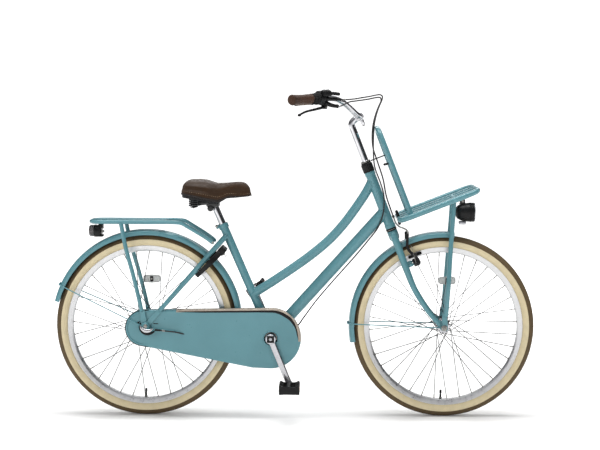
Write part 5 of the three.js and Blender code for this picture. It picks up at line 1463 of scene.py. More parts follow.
def crank(name, node, s):
    # s -1 is the right side
    d = A(math.sin(rad(22.6)), 0, -math.cos(rad(22.6))) * (1 if s < 0 else -1)
    x = np.cross(A(0, s, 0), d)
    P = Piece()
    o = BB.copy()
    P.lathe(fil([(8.4, 49.5), (16.5, 49.5), (19, 54), (19, 82), (17.6, 85.4), (9.6, 85.4), (9.0, 79.5), (8.4, 79.5)], 1.2, 3), o, A(0, s, 0), ALLOY_BRIGHT, 64)
    # square recess with the crank bolt: a black disc at its floor and a black square plate on the face paint the
    # recess's shade
    P.lathe(fil([(0, 79.6), (9.2, 79.6)], 0.2, 1), o, A(0, s, 0), BLACK, 24)
    P.plate(rect(0, 0, 26, 25, 3), 83.6, 87.2, (o, A(1, 0, 0), A(0, 0, 1), A(0, s, 0)), BLACK, 0.9, holes=[circle(0, 0, 8.0, 30)])
    P.plate(circle(0, 0, 6.2, 6), 79.7, 86.0, (o, d, x, A(0, s, 0)), ALLOY, 0.7)
    P.lathe(fil([(6.9, 79.8), (8.6, 79.8), (8.6, 84.0), (6.9, 84.0)], 0.3, 2), o, A(0, s, 0), DARK_STEEL, 36)
    # arm: a rounded blade that narrows towards the pedal
    rows = []
    for t in np.linspace(0, 1, 40):
        w = (12.8 - 1.4 * min(t * 1.15, 1)) * (1 + 0.06 * max(0, (t - 0.86) / 0.14))
        y0, y1 = 71.4 + 1.2 * t, 83.4
        sec = fil([(-w, y0), (w, y0), (w * 0.86, y1), (-w * 0.86, y1)], 4.6, 5, True)
        rows.append([o + d * (8 + 163 * t) + x * q[0] + A(0, s * q[1], 0) for q in sec])
    P.grid(np.array(rows), ALLOY_BRIGHT)
    eye = o + d * 172
    P.lathe(fil([(0, 72.4), (11.6, 72.4), (12.8, 74), (12.8, 81.6), (11.4, 83.6), (0, 83.6)], 1.0, 3), eye, A(0, s, 0), ALLOY_BRIGHT, 48)
    P.lathe(fil([(0, 83), (8.2, 83), (8.2, 85.4), (5, 86.4), (5, 90), (7.4, 90.2), (7.4, 92.4), (5, 92.8), (5, 185.5), (0, 186)], 0.4, 2), eye, A(0, s, 0), STEEL, 32)
    P.plate(circle(0, 0, 7.6, 6), 86.0, 90.2, (eye, d, x, A(0, s, 0)), STEEL, 0.6)
    return P.done(name, "crankset", [node])


crank("look_right_crank", "right_crank", -1)
crank("look_left_crank", "left_crank", 1)


def pedal(name, body, node, s, tilt):
    d = A(math.sin(rad(22.6)), 0, -math.cos(rad(22.6))) * (1 if s < 0 else -1)
    o = BB + d * 172
    q = rad(tilt)
    ex = A(math.cos(q), 0, -math.sin(q))
    ez = A(math.sin(q), 0, math.cos(q))
    ey = A(0, s, 0)
    axle = o
    o = axle + ex * 3.4 - ez * 4.4
    P = Piece()
    P.lathe(fil([(5.6, 92.2), (9.4, 92.2), (10.2, 95), (9.2, 110), (8.6, 141), (9.2, 172), (10.2, 187), (9.4, 189.8), (0, 189.8)], 1, 3), axle, ey, BLACK, 40)
    for y in (96, 186):
        P.plate(
            fil([(-35.5, -15), (-18, -14), (18, -14), (35.5, -15), (36, 0), (35.5, 15), (31, 18.4), (22, 12.6), (-22, 12.6), (-31, 18.4), (-35.5, 15), (-36, 0)], 3, 3, True),
            y - 4, y + 4, (o, ex, ez, ey), BLACK, 1.2)
    for k in (-1, 1):
        P.rbox(o + ex * (28.5 * k) + ey * 141, (13, 27, 96), BLACK, [ex, ez, ey], 2.4)
        # rubber tread block with ribs
        for m in range(11):
            P.rbox(o + ex * (28.5 * k) + ey * (101 + 8 * m), (15, 30, 4.4), BLACK_SOFT, [ex, ez, ey], 1.0)
        P.rbox(o + ex * (35.6 * k) + ey * 141, (2.6, 12, 44), REFLECT_AMBER, [ex, ez, ey], 0.8)
    P.rbox(o + ey * 141, (54, 7, 10), BLACK, [ex, ez, ey], 1.5)
    return P.done(name, body, [node])


REFLECT_AMBER = prismatic("amber_reflector", lin("b8741f"), 520, 0.2)
pedal("look_right_pedal", "right_pedal_body", "right_pedal", -1, 0)
pedal("look_left_pedal", "left_pedal_body", "left_pedal", 1, -33)

# ---------- seatpost, saddle
P = Piece()
P.lathe(fil([(0, 300), (12.0, 300), (12.7, 301), (12.7, 476), (12.7, 507), (12.0, 508), (11.2, 509), (10.6, 510), (0, 510)], 0.4, 2), BB, SEAT_DIR, CHROME, 56)
for t in range(5):
    P.lathe([(12.65, 352 + 5 * t), (12.74, 352.3 + 5 * t), (12.74, 352.9 + 5 * t), (12.65, 353.2 + 5 * t)], BB, SEAT_DIR, BLACK, 40)
P.done("look_seatpost", "seat", ["seatpost"])


def bezier(a, b, c, d, n):
    t = np.linspace(0, 1, n, endpoint=False)[:, None]
    a, b, c, d = map(lambda q: np.asarray(q, float), (a, b, c, d))
    return (1 - t) ** 3 * a + 3 * (1 - t) ** 2 * t * b + 3 * (1 - t) * t * t * c + t ** 3 * d


def saddle_outline(k, n=180):
    segs = [
        ((374 - k, 0), (374 - k, 16 - k), (360, 25 - k), (330, 25 - k)),
        ((330, 25 - k), (292, 28 - k), (272, 46 - k), (240, 76 - k)),
        ((240, 76 - k), (207, 107 - k), (150, 106 - k), (130 + k, 72)),
        ((130 + k, 72), (122 + k, 50), (130 + k, 20), (132 + k, 0)),
    ]
    half = np.vstack([bezier(*s, 40) for s in segs] + [A(132 + k, 0)[None]])
    full = np.vstack([half, (half * A(1, -1))[-2:0:-1]])
    return resample(full, n, True)


# heights of the saddle's top line and of its lower edge along its length
TOP_X = [118, 126, 134, 146, 165, 190, 212, 232, 252, 285, 315, 336, 352, 374]
TOP_Z = [822, 834, 842, 849, 852.3, 852.6, 850.3, 844.7, 839.6, 840.6, 843.6, 843.6, 841.0, 826]
LOW_X = [118, 130, 150, 175, 205, 232, 256, 272, 287, 317, 358, 374]
LOW_Z = [803, 802, 799, 794, 787, 780.5, 774.5, 779.5, 788.0, 789.5, 793.5, 796]


def saddle_surface(k, rows, low_shift=0.0, top_shift=0.0, m=180):
    edge = saddle_outline(k, m)
    Q = []
    smooth = lambda xs, zs, x: np.interp(x, xs, zs)
    ex = edge[:, 0]
    spine = np.clip(ex, 168, 338)
    for s in rows:
        th = s * math.pi / 2
        p = np.interp(ex, [150, 300, 350], [2.7, 2.9, 2.1])
        rho = math.sin(th) ** (2 / p)
        h = 1 - math.cos(th) ** (2 / p)
        x = spine + (ex - spine) * rho
        y = edge[:, 1] * rho
        top = smooth(TOP_X, TOP_Z, np.clip(x, 118, 366))
        # the line of the top is measured on the centre; the rear falls off towards its rim
        inner_top = smooth(TOP_X, TOP_Z, np.clip(spine + (x - spine) * 0.55, 126, 352)) + top_shift
        low = smooth(LOW_X, LOW_Z, ex) + low_shift
        z = inner_top * (1 - h) + low * h
        # shallow channel along the middle of the broad part
        z = z - 3.4 * np.exp(-((y / 15) ** 2)) * np.exp(-(((x - 215) / 62) ** 2)) * (1 - h)
        # the flank is drawn in a little below the rim
        pull = 0.05 * math.exp(-(((s - 0.80) / 0.10) ** 2))
        x = x + (spine - x) * pull
        y = y * (1 - pull)
        Q.append(np.stack([x, y, z], 1))
    return np.array(Q), edge


P = Piece()
rows = list(np.concatenate([[0.0], np.linspace(0.04, 0.999, 44)]))
Q, edge = saddle_surface(0, rows)
Q = list(Q)
# turned-in lower edge
last = Q[-1]
for d, dz in ((1.2, -1.6), (3.2, -2.2), (5.4, -1.0), (6.2, 2.0), (7.5, 8.0)):
    e = saddle_outline(d)
    Q.append(np.stack([e[:, 0], e[:, 1], last[:, 2] + dz], 1))
P.grid(np.array(Q), SADDLE_LEATHER, matij=lambda i, j: SADDLE_LEATHER if i < 43 else SADDLE_TRIM)
# piping along the lower edge and a stitched seam above it
low = Q[44]
P.tube([(q[0], q[1], q[2] - 0.6) for q in low], 1.9, SADDLE_TRIM, 10, n=320, closed=True)


def stitched(row, mat, r=0.55, step=4.2, lift=0.25):
    line = resample(row, int(np.linalg.norm(np.diff(np.vstack([row, row[:1]]), axis=0), axis=1).sum() / step) // 2 * 2, True)
    c = row.mean(0)
    for k in range(0, len(line), 2):
        a, b = line[k], line[(k + 1) % len(line)]
        n_ = unit((a + b) / 2 - A(c[0], 0, c[2] - 30))
        P.tube([a - n_ * 0.5, (a * 0.7 + b * 0.3) + n_ * lift, (a * 0.3 + b * 0.7) + n_ * lift, b - n_ * 0.5], r, mat, 5, n=5, ends=None)


stitched(Q[40], THREAD)
cover = P.done("look_saddle_cover", "seat", ["saddle_cover"], angle=60)
# soft wrinkles and sag of the padded leather
co = np.array([v.co for v in cover.data.vertices])
from mathutils import noise as mnoise

offs = np.array([mnoise.fractal(Vector((c[0] * 22, c[1] * 22, c[2] * 22)), 0.8, 2.0, 3) for c in co])
nrm = np.array([v.normal for v in cover.data.vertices])
co = co + nrm * (offs * 0.0009)[:, None]
cover.data.vertices.foreach_set("co", co.astype(np.float32).ravel())
cover.data.update()

P = Piece()
e = saddle_outline(9)
P.plate(e, 790.5, 796, (A(0, 0, 0), A(1, 0, 0), A(0, 1, 0), A(0, 0, 1)), BLACK, 1.2)
# rim of the base, seen below the leather, deeper towards the back
rows = []
for d, up_, down in ((4.5, 4.0, 0), (2.6, 2.0, 0), (2.2, 0.0, 0), (2.4, 0, 0.5), (3.4, 0, 0.92), (5.0, 0, 1.0), (7.5, 0, 0.9), (9.0, 4.0, 0)):
    e = saddle_outline(d)
    low_line = np.interp(e[:, 0], LOW_X, LOW_Z) - 1.5
    deep = np.interp(e[:, 0], [118, 140, 200, 245, 262, 300], [12.0, 11.0, 9.0, 6.0, 2.5, 1.5])
    rows.append(np.stack([e[:, 0], e[:, 1], low_line + up_ - deep * down], 1))
P.grid(np.array(rows), BLACK)
P.done("look_saddle_base", "seat", ["saddle_base"])

P = Piece()
for s in (-1, 1):
    P.tube([(338, s * 9, 801), (318, s * 13, 799), (292, s * 18, 794), (270, s * 21, 779), (252, s * 22, 767.5), (228, s * 22, 765), (196, s * 34, 763), (170, s * 50, 757)], 3.5, BLACK_STEEL, 20, n=60, ends="round")
    # coil spring
    turns, steps = 4.6, 160
    pts = []
    for k in range(steps + 1):
        t = k / steps
        a = 2 * math.pi * turns * t
        r = 14.6 if 0.06 < t < 0.94 else 12.6
        pts.append((170 + r * math.cos(a), s * 52 + r * math.sin(a), 756.5 + 31 * t))
    P.tube(pts, 3.0, BLACK_STEEL, 12, n=220, ends="round")
    P.lathe(fil([(0, 752.6), (10, 752.6), (12, 754), (12, 755.6), (0, 755.6)], 0.5, 2), A(170, s * 52, 0), A(0, 0, 1), BLACK_STEEL, 32)
    P.lathe(fil([(0, 788), (13, 788), (13, 790.4), (0, 790.4)], 0.5, 2), A(170, s * 52, 0), A(0, 0, 1), BLACK_STEEL, 32)
    P.bolt(A(170, s * 52, 753), A(0, 0, -1), 3.6, 3, STEEL)
    # side plates of the clamp with their teeth and nut
    P.lathe(fil([(0, 14), (10.4, 14), (11.2, 16), (11.2, 26), (9.6, 28.4), (0, 28.4)], 1, 3), A(228, 0, 748.5), A(0, s, 0), BLACK_STEEL, 72,
            mod=lambda i, r, h, a: np.where((r > 10) & (h < 20), 0.3 * np.cos(a * 30), 0.0))
    x, y, z = basis(A(0, s, 0))
    P.plate(circle(0, 0, 5.4, 6), 28.2, 31.2, (A(228, 0, 748.5), x, y, z), BLACK_STEEL, 0.7)
    P.rbox(A(236, s * 20, 763.5), (46, 13, 20), BLACK_STEEL, None, 4)
    P.rbox(A(198, s * 34, 768.5), (50, 6, 11), BLACK_STEEL, None, 2.5)
    P.lathe(fil([(0, 757), (9.5, 757), (10.5, 759), (10.5, 786), (0, 786)], 1.0, 2), A(170, s * 52, 0), A(0, 0, 1), BLACK_SOFT, 32)
P.tube([(170, -52, 757), (170, 52, 757)], 3.5, BLACK_STEEL, 16, curve=False, n=4)
P.tube([(338, -12, 801), (338, 12, 801)], 4.2, BLACK_STEEL, 16, curve=False)
P.tube([(228, -31, 748.5), (228, 31, 748.5)], 3.4, STEEL, 18, curve=False)
P.lathe(fil([(12.0, 506), (15.0, 506), (15.8, 507), (16.4, 514), (15.4, 517), (0, 517)], 0.8, 2), BB, SEAT_DIR, BLACK_STEEL, 56)
P.rbox(A(236, 0, 765.5), (44, 36, 15), BLACK_STEEL, [A(1, 0, 0), A(0, 1, 0), A(0, 0, 1)], 4)
P.done("look_saddle_undercarriage", "seat", ["saddle_undercarriage"])

# ---------- fork, front axle
P = Piece()
P.tube([S(0, -30), S(0, 262)], 14.2, PAINT, 40, curve=False, n=10)
P.lathe(fil([(14, -36), (17, -34), (18.8, -28), (19.2, -6), (18.6, -1.2), (14, -0.9)], 1.4, 3), S(0, 0), U_DIR, PAINT, 56)
P.tube([S(0, -18, -36), S(0, -20, -20), S(0, -21, 0), S(0, -20, 20), S(0, -18, 36)], 14.5, PAINT, 32, n=24, ends="round")
for s in (-1, 1):
    path = [S(0, -14, s * 30), S(0, -30, s * 42), S(0, -60, s * 46.5), S(-1, -113, s * 49), S(-1, -163, s * 51), S(0, -216, s * 52), S(8, -269, s * 53), S(21.6, -325, s * 53), S(38, -370, s * 52.8)]
    P.tube(path, lambda t: 13 - 5.2 * max(0, t - 0.15), PAINT, 32, n=90, ends="round")
    out = fil([(q[0], q[2]) for q in (S(30, -352), S(44, -356), S(62, -380), S(63, -398), S(52, -404), S(38, -396), S(28, -372))], 4.5, 4, True)
    c0, c1 = (-55.3, -50.3) if s > 0 else (50.3, 55.3)
    P.plate(out, c0, c1, XZ, PAINT, 0.8, holes=[circle(BASE, TYRE_R, 5, 28)])
    P.lathe(fil([(0, 8), (6.4, 8), (6.4, 24), (4.6, 27), (4, 28), (4, 49.4), (3.4, 50), (0, 50)], 0.5, 2), S(0, -137, s * 43), N_DIR, PAINT, 28)
P.done("look_fork", "steering", ["fork"])

P = Piece()
P.lathe(fil([(0, -74), (4.1, -74), (4.5, -73.4), (4.5, 73.4), (4.1, 74), (0, 74)], 0.2, 1), FAX, A(0, 1, 0), STEEL, 32)
for s in (-1, 1):
    x, y, z = basis(A(0, s, 0))
    P.plate(circle(0, 0, 8.9, 6, 0.2), 65.8, 72, (FAX, x, y, z), STEEL, 0.9, holes=[circle(0, 0, 4.4, 24)])
    P.lathe(fil([(4.4, 64.2), (10.8, 64.2), (10.8, 65.7), (4.4, 65.7)], 0.4, 2), FAX, A(0, s, 0), STEEL, 48)
P.done("look_front_axle", "steering", ["front_axle"])

# ---------- stem and handlebar
CLAMP = A(759.4, 0, 1079.3)


def bar_at(s, side=-1):
    return A(512 + 0.6537 * s, side * (305 - 0.7549 * s), 1135 + 0.0467 * s)


def bar_half(side):
    return [tuple(bar_at(s, side)) for s in (20, 70, 140, 200)] + [(674, side * 118, 1142), (699, side * 92, 1130.5), (722, side * 68, 1112.5), (743, side * 47, 1093), (756.5, side * 34, 1081.8)]


bar_path = bar_half(-1) + [(759.4, -22, 1079.3), (759.4, -8, 1079.3), (759.4, 8, 1079.3), (759.4, 22, 1079.3)] + bar_half(1)[::-1]
P = Piece()
P.tube(bar_path, 11.1, CHROME, 32, n=200, ends="flat", bev=0.8)
P.tube([(759.4, -24, 1079.3), (759.4, 24, 1079.3)], 12.2, CHROME, 32, curve=False, n=8, bev=2.5)
P.done("look_handlebar", "steering", ["handlebar"])

P = Piece()
P.tube([S(0, 150), S(0, 380), S(0, 398), S(3, 410), S(14, 418), S(26, 421.5), S(38, 424.5)], 12.5, CHROME, 40, n=60, ends="flat", bev=1)
P.lathe(fil([(0, 0), (9.5, 0), (9.5, 5), (8.6, 7.4), (5.4, 7.4), (5.4, 4), (0, 4)], 0.7, 2), S(0, 407.5), U_DIR, CHROME, 40)
P.lathe(fil([(12.0, -19), (15.6, -19), (16.6, -17.6), (16.6, 17.6), (15.6, 19), (12.0, 19)], 0.8, 3), CLAMP, A(0, 1, 0), CHROME, 72)
P.rbox(S(41, 404), (13, 30, 26), CHROME, [N_DIR, A(0, 1, 0), U_DIR], 3.5)
P.bolt(S(41, 417), U_DIR, 4.2, 4, STEEL, "socket", BLACK)
P.bolt(S(41, 391), -U_DIR, 4.0, 3.4, STEEL)
P.lathe([(12.45, 262.6), (14.4, 262.6), (14.4, 266.5), (12.45, 268.5)], S(0, 0), U_DIR, CHROME, 48)
P.done("look_stem", "steering", ["stem"])


def grip(name, node, side):
    """Soft moulded grip with a leather-like cover, a stitched seam below and ribs for the fingers."""
    P = Piece()
    o = bar_at(0, side)
    ax = unit(bar_at(1, side) - o)
    prof = [(11.5, 120.6), (14.8, 121.0), (16.6, 119.6), (17.9, 116.5), (18.0, 113)]
    for k in range(60):
        h = 112 - k * 1.36
        r = 17.0 + 0.5 * math.cos((h - 28) / 84 * 2 * math.pi) + 0.22 * math.cos(h * 2 * math.pi / 8.5)
        prof.append((r, h))
    prof += [(17.6, 28.6), (17.9, 24), (17.9, 20), (17.5, 18), (16.4, 16.5), (14.2, 15.9), (11, 15.8), (0, 15.8)]
    prof = prof[::-1]

    ref = A(0, 0, 1)
    rows = []
    x, y, z = basis(ax, ref)

    def swell(i, r, h, a):
        # flattened palm side on top, fuller below, in steps too soft to see as sides
        return r * (0.02 * np.cos(a) - 0.012 * np.cos(2 * a)) * np.clip((r - 9) / 6, 0, 1)

    P.lathe(prof, o, ax, GRIP_LEATHER, 72, ref=ref, mod=swell)
    P.lathe(fil([(0, 15.4), (7.5, 15.4), (8.4, 16.2), (8.4, 16.8)], 0.5, 2), o, ax, GRIP_LEATHER, 40)
    for h in (22.4, 115.6):
        ring = [o + ax * h + (18.1 if h > 50 else 18.0) * 1.0 * (x * math.cos(a) + y * math.sin(a)) for a in np.linspace(0, 2 * math.pi, 48, endpoint=False)]
        P.tube([tuple(q) for q in ring], 0.8, SADDLE_TRIM, 8, n=48, closed=True)
    # cross stitches along the underside
    for k in range(18):
        h = 28 + k * 4.7
        for sgn in (-1, 1):
            p0 = o + ax * h - x * 16.9 + y * 1.8 * sgn
            p1 = o + ax * (h + 3.4) - x * 16.9 - y * 1.8 * sgn
            P.tube([tuple(p0 + x * 0.8), tuple((p0 + p1) / 2 - x * 0.9), tuple(p1 + x * 0.8)], 0.4, THREAD, 5, n=5, ends=None)
    g = P.done(name, "steering", [node], angle=60)
    return g


grip("look_right_grip", "right_grip", -1)
grip("look_left_grip", "left_grip", 1)

# ---------- shifter, display, brake lever
AXR = unit(bar_at(1) - bar_at(0))
P = Piece()
prof = [(12.1, 121.7), (17.6, 121.7), (18.5, 123.2)]
prof += [(18.5, 124 + k) for k in range(0, 15, 2)] + [(18.6, 139.4), (20.4, 140.4), (21.1, 142), (21.1, 148), (20.4, 149.8), (12.1, 149.8)]
P.lathe(fil(prof, 0.5, 2), bar_at(0), AXR, BLACK_SOFT, 144, mod=lambda i, r, h, a: np.where((r > 18.3) & (h < 139), 0.6 * np.cos(a * 18), np.where((r > 20.8) & (h > 141.5) & (h < 148.5), 0.4 * np.cos(a * 36), 0.0)))
P.done("look_twist_shifter", "shifter_collar", ["twist_shifter"])

P = Piece()
P.lathe(fil([(11.7, 150.6), (20.6, 150.6), (21.4, 152), (21.6, 160), (21.2, 174), (19.4, 176), (11.7, 176)], 1.0, 3), bar_at(0), AXR, BLACK, 80)
up = A(0, 0, 1)
P.lathe(fil([(0, 152), (13.6, 152), (15, 153.8), (15.6, 163), (15.2, 186), (13.2, 189), (0, 189)], 1.1, 3), bar_at(0) + up * 12, AXR, BLACK, 64)
P.lathe(fil([(0, 9), (19.5, 9), (20.4, 14), (19.6, 24), (17, 28.6), (12, 31), (0, 32)], 2.0, 4), A(640.5, -184, 1141.5), up, BLACK, 72)
# window of the gear display, on top
wx = A(0, 0, 1)
side_dir = np.cross(AXR, wx)
P.rbox(A(640.5, -184, 1173.0), (17, 20, 2.6), LENS, [AXR, side_dir, wx], 1.0)
P.tube([(650, -178, 1160), (668, -176, 1160.4), (684.5, -175, 1158.4)], lambda t: 6.6 - 0.8 * t, BLACK, 24, n=16, ends="round")
stop = unit(A(49, 10, -1.4))
P.tube([(636, -178.5, 1142.0), (662, -172, 1141.0), (693.5, -165, 1139.8)], lambda t: 7.6 - 2.4 * t, BLACK, 24, n=20)
for k in range(5):
    q = A(664, -171.4, 1140.9) + k * 4.2 * stop
    P.lathe([(5.2, -0.9), (6.9, -0.5), (6.9, 0.5), (5.2, 0.9)], q, stop, BLACK, 28)
P.bolt(bar_at(172) + up * -21.0 + side_dir * 2, -up, 2.6, 2.2, STEEL, "socket", BLACK)
P.done("look_shifter_housing", "steering", ["shifter_housing"])

outward = -AXR
below = A(0, 0, -1) + outward * outward[2]
below = unit(below)
lever_axis = np.cross(outward, below)


def from_bar(s, h):
    return bar_at(s) + below * h


PIV = from_bar(187, 31)


def on_lever(a, p=None):
    return (PIV if p is None else np.asarray(p, float)) + lever_axis * a


P = Piece()
P.lathe(fil([(11.7, 178), (14, 178), (14.8, 179.4), (14.8, 194.6), (14, 196), (11.7, 196)], 0.8, 3), bar_at(0), AXR, BLACK, 64)
P.rbox(bar_at(187) - below * 13.6, (15, 13, 6), BLACK, [AXR, lever_axis, below], 1.8)
P.bolt(bar_at(187) - below * 15.8, -below, 3.0, 2.6, STEEL, "socket", BLACK)
for s in (-1, 1):
    lo, hi = sorted((4.7 * s, 8.4 * s))
    out = fil([(-7, -19), (7, -19), (7.6, -6), (7.4, 1), (4.6, 6.6), (-4.6, 6.6), (-7.4, 1), (-8, -8)], 3, 3, True)
    P.plate(out, lo, hi, (PIV, AXR, below, np.cross(AXR, below)), BLACK, 0.9)
    P.bolt(on_lever(8.2 * s), lever_axis * s, 2.8, 1.8, STEEL)
P.tube([on_lever(-6), on_lever(6)], 2, STEEL, 16, curve=False)
neck = from_bar(187, 16.5)
P.tube([on_lever(-8, neck), on_lever(8, neck)], 4.5, BLACK, 20, curve=False)
a, b = on_lever(6, neck), A(684.5, -165, 1115)
P.tube([tuple(a), tuple(a * 0.5 + b * 0.5 - up * 2), tuple(b)], lambda t: 8.6 - 3.0 * t, BLACK, 24, n=16)
d = unit(b - a)
P.lathe(fil([(3, -5), (6.4, -5), (6.4, 3), (3, 3)], 0.6, 2), b - d * 4, d, BLACK, 60, mod=lambda i, r, h, q: np.where(r > 6, 0.25 * np.cos(q * 20), 0.0))
P.lathe(fil([(2.6, -2), (4.6, -2), (4.6, 4), (2.6, 4)], 0.5, 2), b, d, ALLOY_BRIGHT, 40)
P.rbox(from_bar(180, 17), (30, 15, 14), BLACK, [AXR, lever_axis, below], 4.0)
P.done("look_brake_lever_bracket", "steering", ["brake_lever_bracket"])

P = Piece()
pts = [from_bar(a_, h_) for a_, h_ in ((187, 31), (172, 32.5), (140, 36.5), (112, 39.5), (88, 43.0), (68, 48.5), (56, 53.0))]
curve_ = spline(pts, 70)
rows = []
for k, p in enumerate(curve_):
    t = k / 69
    tan = unit(curve_[min(k + 1, 69)] - curve_[max(k - 1, 0)])
    wide = 4.0 + 3.0 * math.sin(math.pi * min(1, t * 1.1)) ** 0.7
    thick = 5.0 - 1.8 * t
    if t > 0.95:
        wide, thick = wide * 1.1, thick * 1.25
    x_ = lever_axis
    y_ = np.cross(tan, x_)
    sec = [(wide * np.sign(math.cos(g)) * abs(math.cos(g)) ** 0.75, thick * np.sign(math.sin(g)) * abs(math.sin(g)) ** 0.75) for g in np.linspace(0, 2 * math.pi, 24, endpoint=False)]
    rows.append([p + x_ * u_ + y_ * v_ for u_, v_ in sec])
rows = [[curve_[0]] * 24] + rows + [[curve_[-1] + unit(curve_[-1] - curve_[-2]) * 2.5] * 24]
P.grid(np.array(rows), BLACK)
P.tube([on_lever(-4), on_lever(4)], 6.6, BLACK, 32, curve=False, bev=0.9)
P.lathe(fil([(0, -5), (4.2, -5), (4.8, 0), (4.2, 5), (0, 5)], 2, 4), curve_[-1], lever_axis, BLACK, 28)
P.done("look_brake_lever", "lever", ["brake_lever"])


# ---------- front brake
def brake_arm(name, body, node, s):
    P = Piece()
    piv = S(0, -137, s * 43)
    P.lathe(fil([(4.3, 30.5), (10.2, 30.5), (10.8, 32), (10.8, 48), (9.4, 52), (8.2, 54), (0, 54)], 0.8, 3), piv, N_DIR, BLACK, 48)
    P.bolt(S(53.2, -137, s * 43), N_DIR, 4.2, 3.2, BLACK_STEEL, "socket", BLACK)
    P.lathe(fil([(8.2, 33), (11.5, 34), (11.5, 39), (8.2, 40)], 0.6, 2), piv, N_DIR, BLACK_STEEL, 48, mod=lambda i, r, h, q: np.where(r > 11, 0.25 * np.cos(q * 14), 0.0))
    # curved arm with a tapered head
    rows = []
    for t in np.linspace(0, 1, 36):
        u = -139 + 113 * t
        bow = float(np.interp(t, [0, 0.12, 0.3, 0.45, 0.62, 0.8, 1.0], [0, 0, -9, -17, -19, -10, -1]))
        w = 6.4 - 1.2 * t + (1.4 * max(0, (t - 0.86) / 0.14))
        th = 5.6 - 0.8 * t
        y = s * (45.6 + 1.4 * math.sin(math.pi * t))
        sec = fil([(-w, -th), (w, -th), (w, th), (-w, th)], 2.6, 4, True)
        rows.append([S(49.2 + bow + q[0] * 0.95, u, y + q[1] * 0.85) for q in sec])
    rows = [[np.mean(rows[0], 0)] * len(rows[0])] + rows + [[np.mean(rows[-1], 0)] * len(rows[-1])]
    P.grid(np.array(rows), BLACK)
    # spring wire beside the arm
    P.tube([tuple(S(39, -137, s * 53)), tuple(S(41, -118, s * 53.5)), tuple(S(43, -92, s * 52.5)), tuple(S(45, -70, s * 51.5))], 0.9, STEEL, 8, n=24)
    # pad holder, stud and pad
    c = S(46, -112)
    g = -rad(22.1)
    ex = A(math.cos(g), 0, -math.sin(g))
    ez = A(math.sin(g), 0, math.cos(g))
    yy = A(0, 1, 0)
    outl = fil([(-25, -5), (25, -5), (25, 5), (-25, 5)], 3, 4, True)
    P.plate(outl, -3.8, 3.8, (A(c[0], s * 20.8, c[2]), ex, ez, yy), BLACK_SOFT, 1.0)
    for k in range(-2, 3):
        P.plate(rect(9.5 * k, 0, 1.4, 10.3, 0.3), -4.05, 4.05, (A(c[0], s * 20.8, c[2]), ex, ez, yy), BLACK, 0.2)
    P.tube([(c[0], s * 23, c[2]), (c[0], s * 52, c[2])], 3.2, BLACK_STEEL, 18, curve=False)
    P.lathe(fil([(3, 0), (7.6, 0), (8.2, 2), (7.6, 4), (3, 4)], 0.7, 3), A(c[0], s * 34, c[2]), A(0, s, 0), BLACK_STEEL, 36)
    x, y, z = basis(A(0, s, 0))
    P.plate(circle(0, 0, 5.2, 6), 50.6, 54.4, (A(c[0], 0, c[2]), x, y, z), BLACK_STEEL, 0.6)
    return P.done(name, body, [node])


brake_arm("look_right_brake_arm", "right_brake", "right_brake_arm", -1)
brake_arm("look_left_brake_arm", "left_brake", "left_brake_arm", 1)

front_cable = [
    (684.0, -165, 1114.8), (694.5, -152, 1117.6), (709, -118, 1125.2), (724.5, -103, 1132.2), (749.9, -98, 1136.1), (788.7, -96, 1141.9), (815.3, -93, 1147.4),
    (831.5, -90, 1148.0), (835.4, -86, 1138.5), (826.8, -78, 1116.3), (817.4, -68, 1089.9), (808.8, -58, 1054.3), (805.7, -52, 1015.1),
    (809.0, -50, 970), (827.1, -46, 915), (846, -44, 857), (857, -45, 800),
    (871, -46, 757), (883, -48, 725), (892, -50, 702), (904, -52, 689), (920, -53.5, 683), (933, -52, 674), (938, -47.5, 662),
]
P = Piece()
P.tube(front_cable, 2.6, CABLE, 14, n=340)
cc = spline(front_cable, 300)
d0 = unit(cc[1] - cc[0])
P.lathe(fil([(2.3, 0), (3.2, 0), (3.2, 9), (2.3, 9)], 0.4, 2), cc[1], d0, STEEL, 20)
k = 262
P.tube([tuple(q) for q in cc[k:]], 2.9, STEEL, 16, curve=False, n=30)
P.lathe(fil([(2.6, -4), (4.4, -4), (4.4, 3), (3.0, 5)], 0.5, 2), cc[k], unit(cc[k + 1] - cc[k]), BLACK, 24)
# sleeve that guides the cable past the corner of the carrier
P.tube([(894.8, -46, 742.3), (901.4, -46, 722.7), (905.8, -48, 699.6)], lambda t: 6.6 - 1.2 * abs(2 * t - 1), BLACK, 22, n=20, ends="round")
P.done("look_front_brake_cable", "steering", ["front_brake_cable"])

# ---------- front carrier
P = Piece()
PU = 33.5
half = [(40, 0), (40, -60), (40, -110), (48, -138), (72, -150), (186, -150), (292, -150), (322, -138), (332, -108), (332, -50), (332, 0)]
loop = half + [(n_, -y_) for n_, y_ in half[-2:0:-1]]
P.tube([tuple(S(n_, PU, y_)) for n_, y_ in loop], 9.5, PAINT, 28, n=200, closed=True)
for y in (-76, 0, 76):
    P.plate(
        fil([(-146, -19), (146, -19), (146, 19), (-146, 19)], 7, 5, True), -2.5, 2.5,
        (S(186, PU + 2, y), N_DIR, A(0, 1, 0), U_DIR), PAINT, 1.2,
    )
for n_ in (82, 249):
    P.tube([tuple(S(n_, PU - 4.5, -150)), tuple(S(n_, PU - 4.5, 150))], 6, PAINT, 20, curve=False, n=6)
back = [(PU, -112), (70, -111.6), (120, -111), (250, -108), (318, -103), (350, -84), (360, -50), (361.5, 0)]
back = back + [(u, -y) for u, y in back[-2::-1]]
P.tube([tuple(S(82, u, y)) for u, y in back], 9.5, PAINT, 28, n=150, ends="round")
P.tube([tuple(S(82, 247, -107)), tuple(S(82, 247, 107))], 6, PAINT, 20, curve=False, n=6)
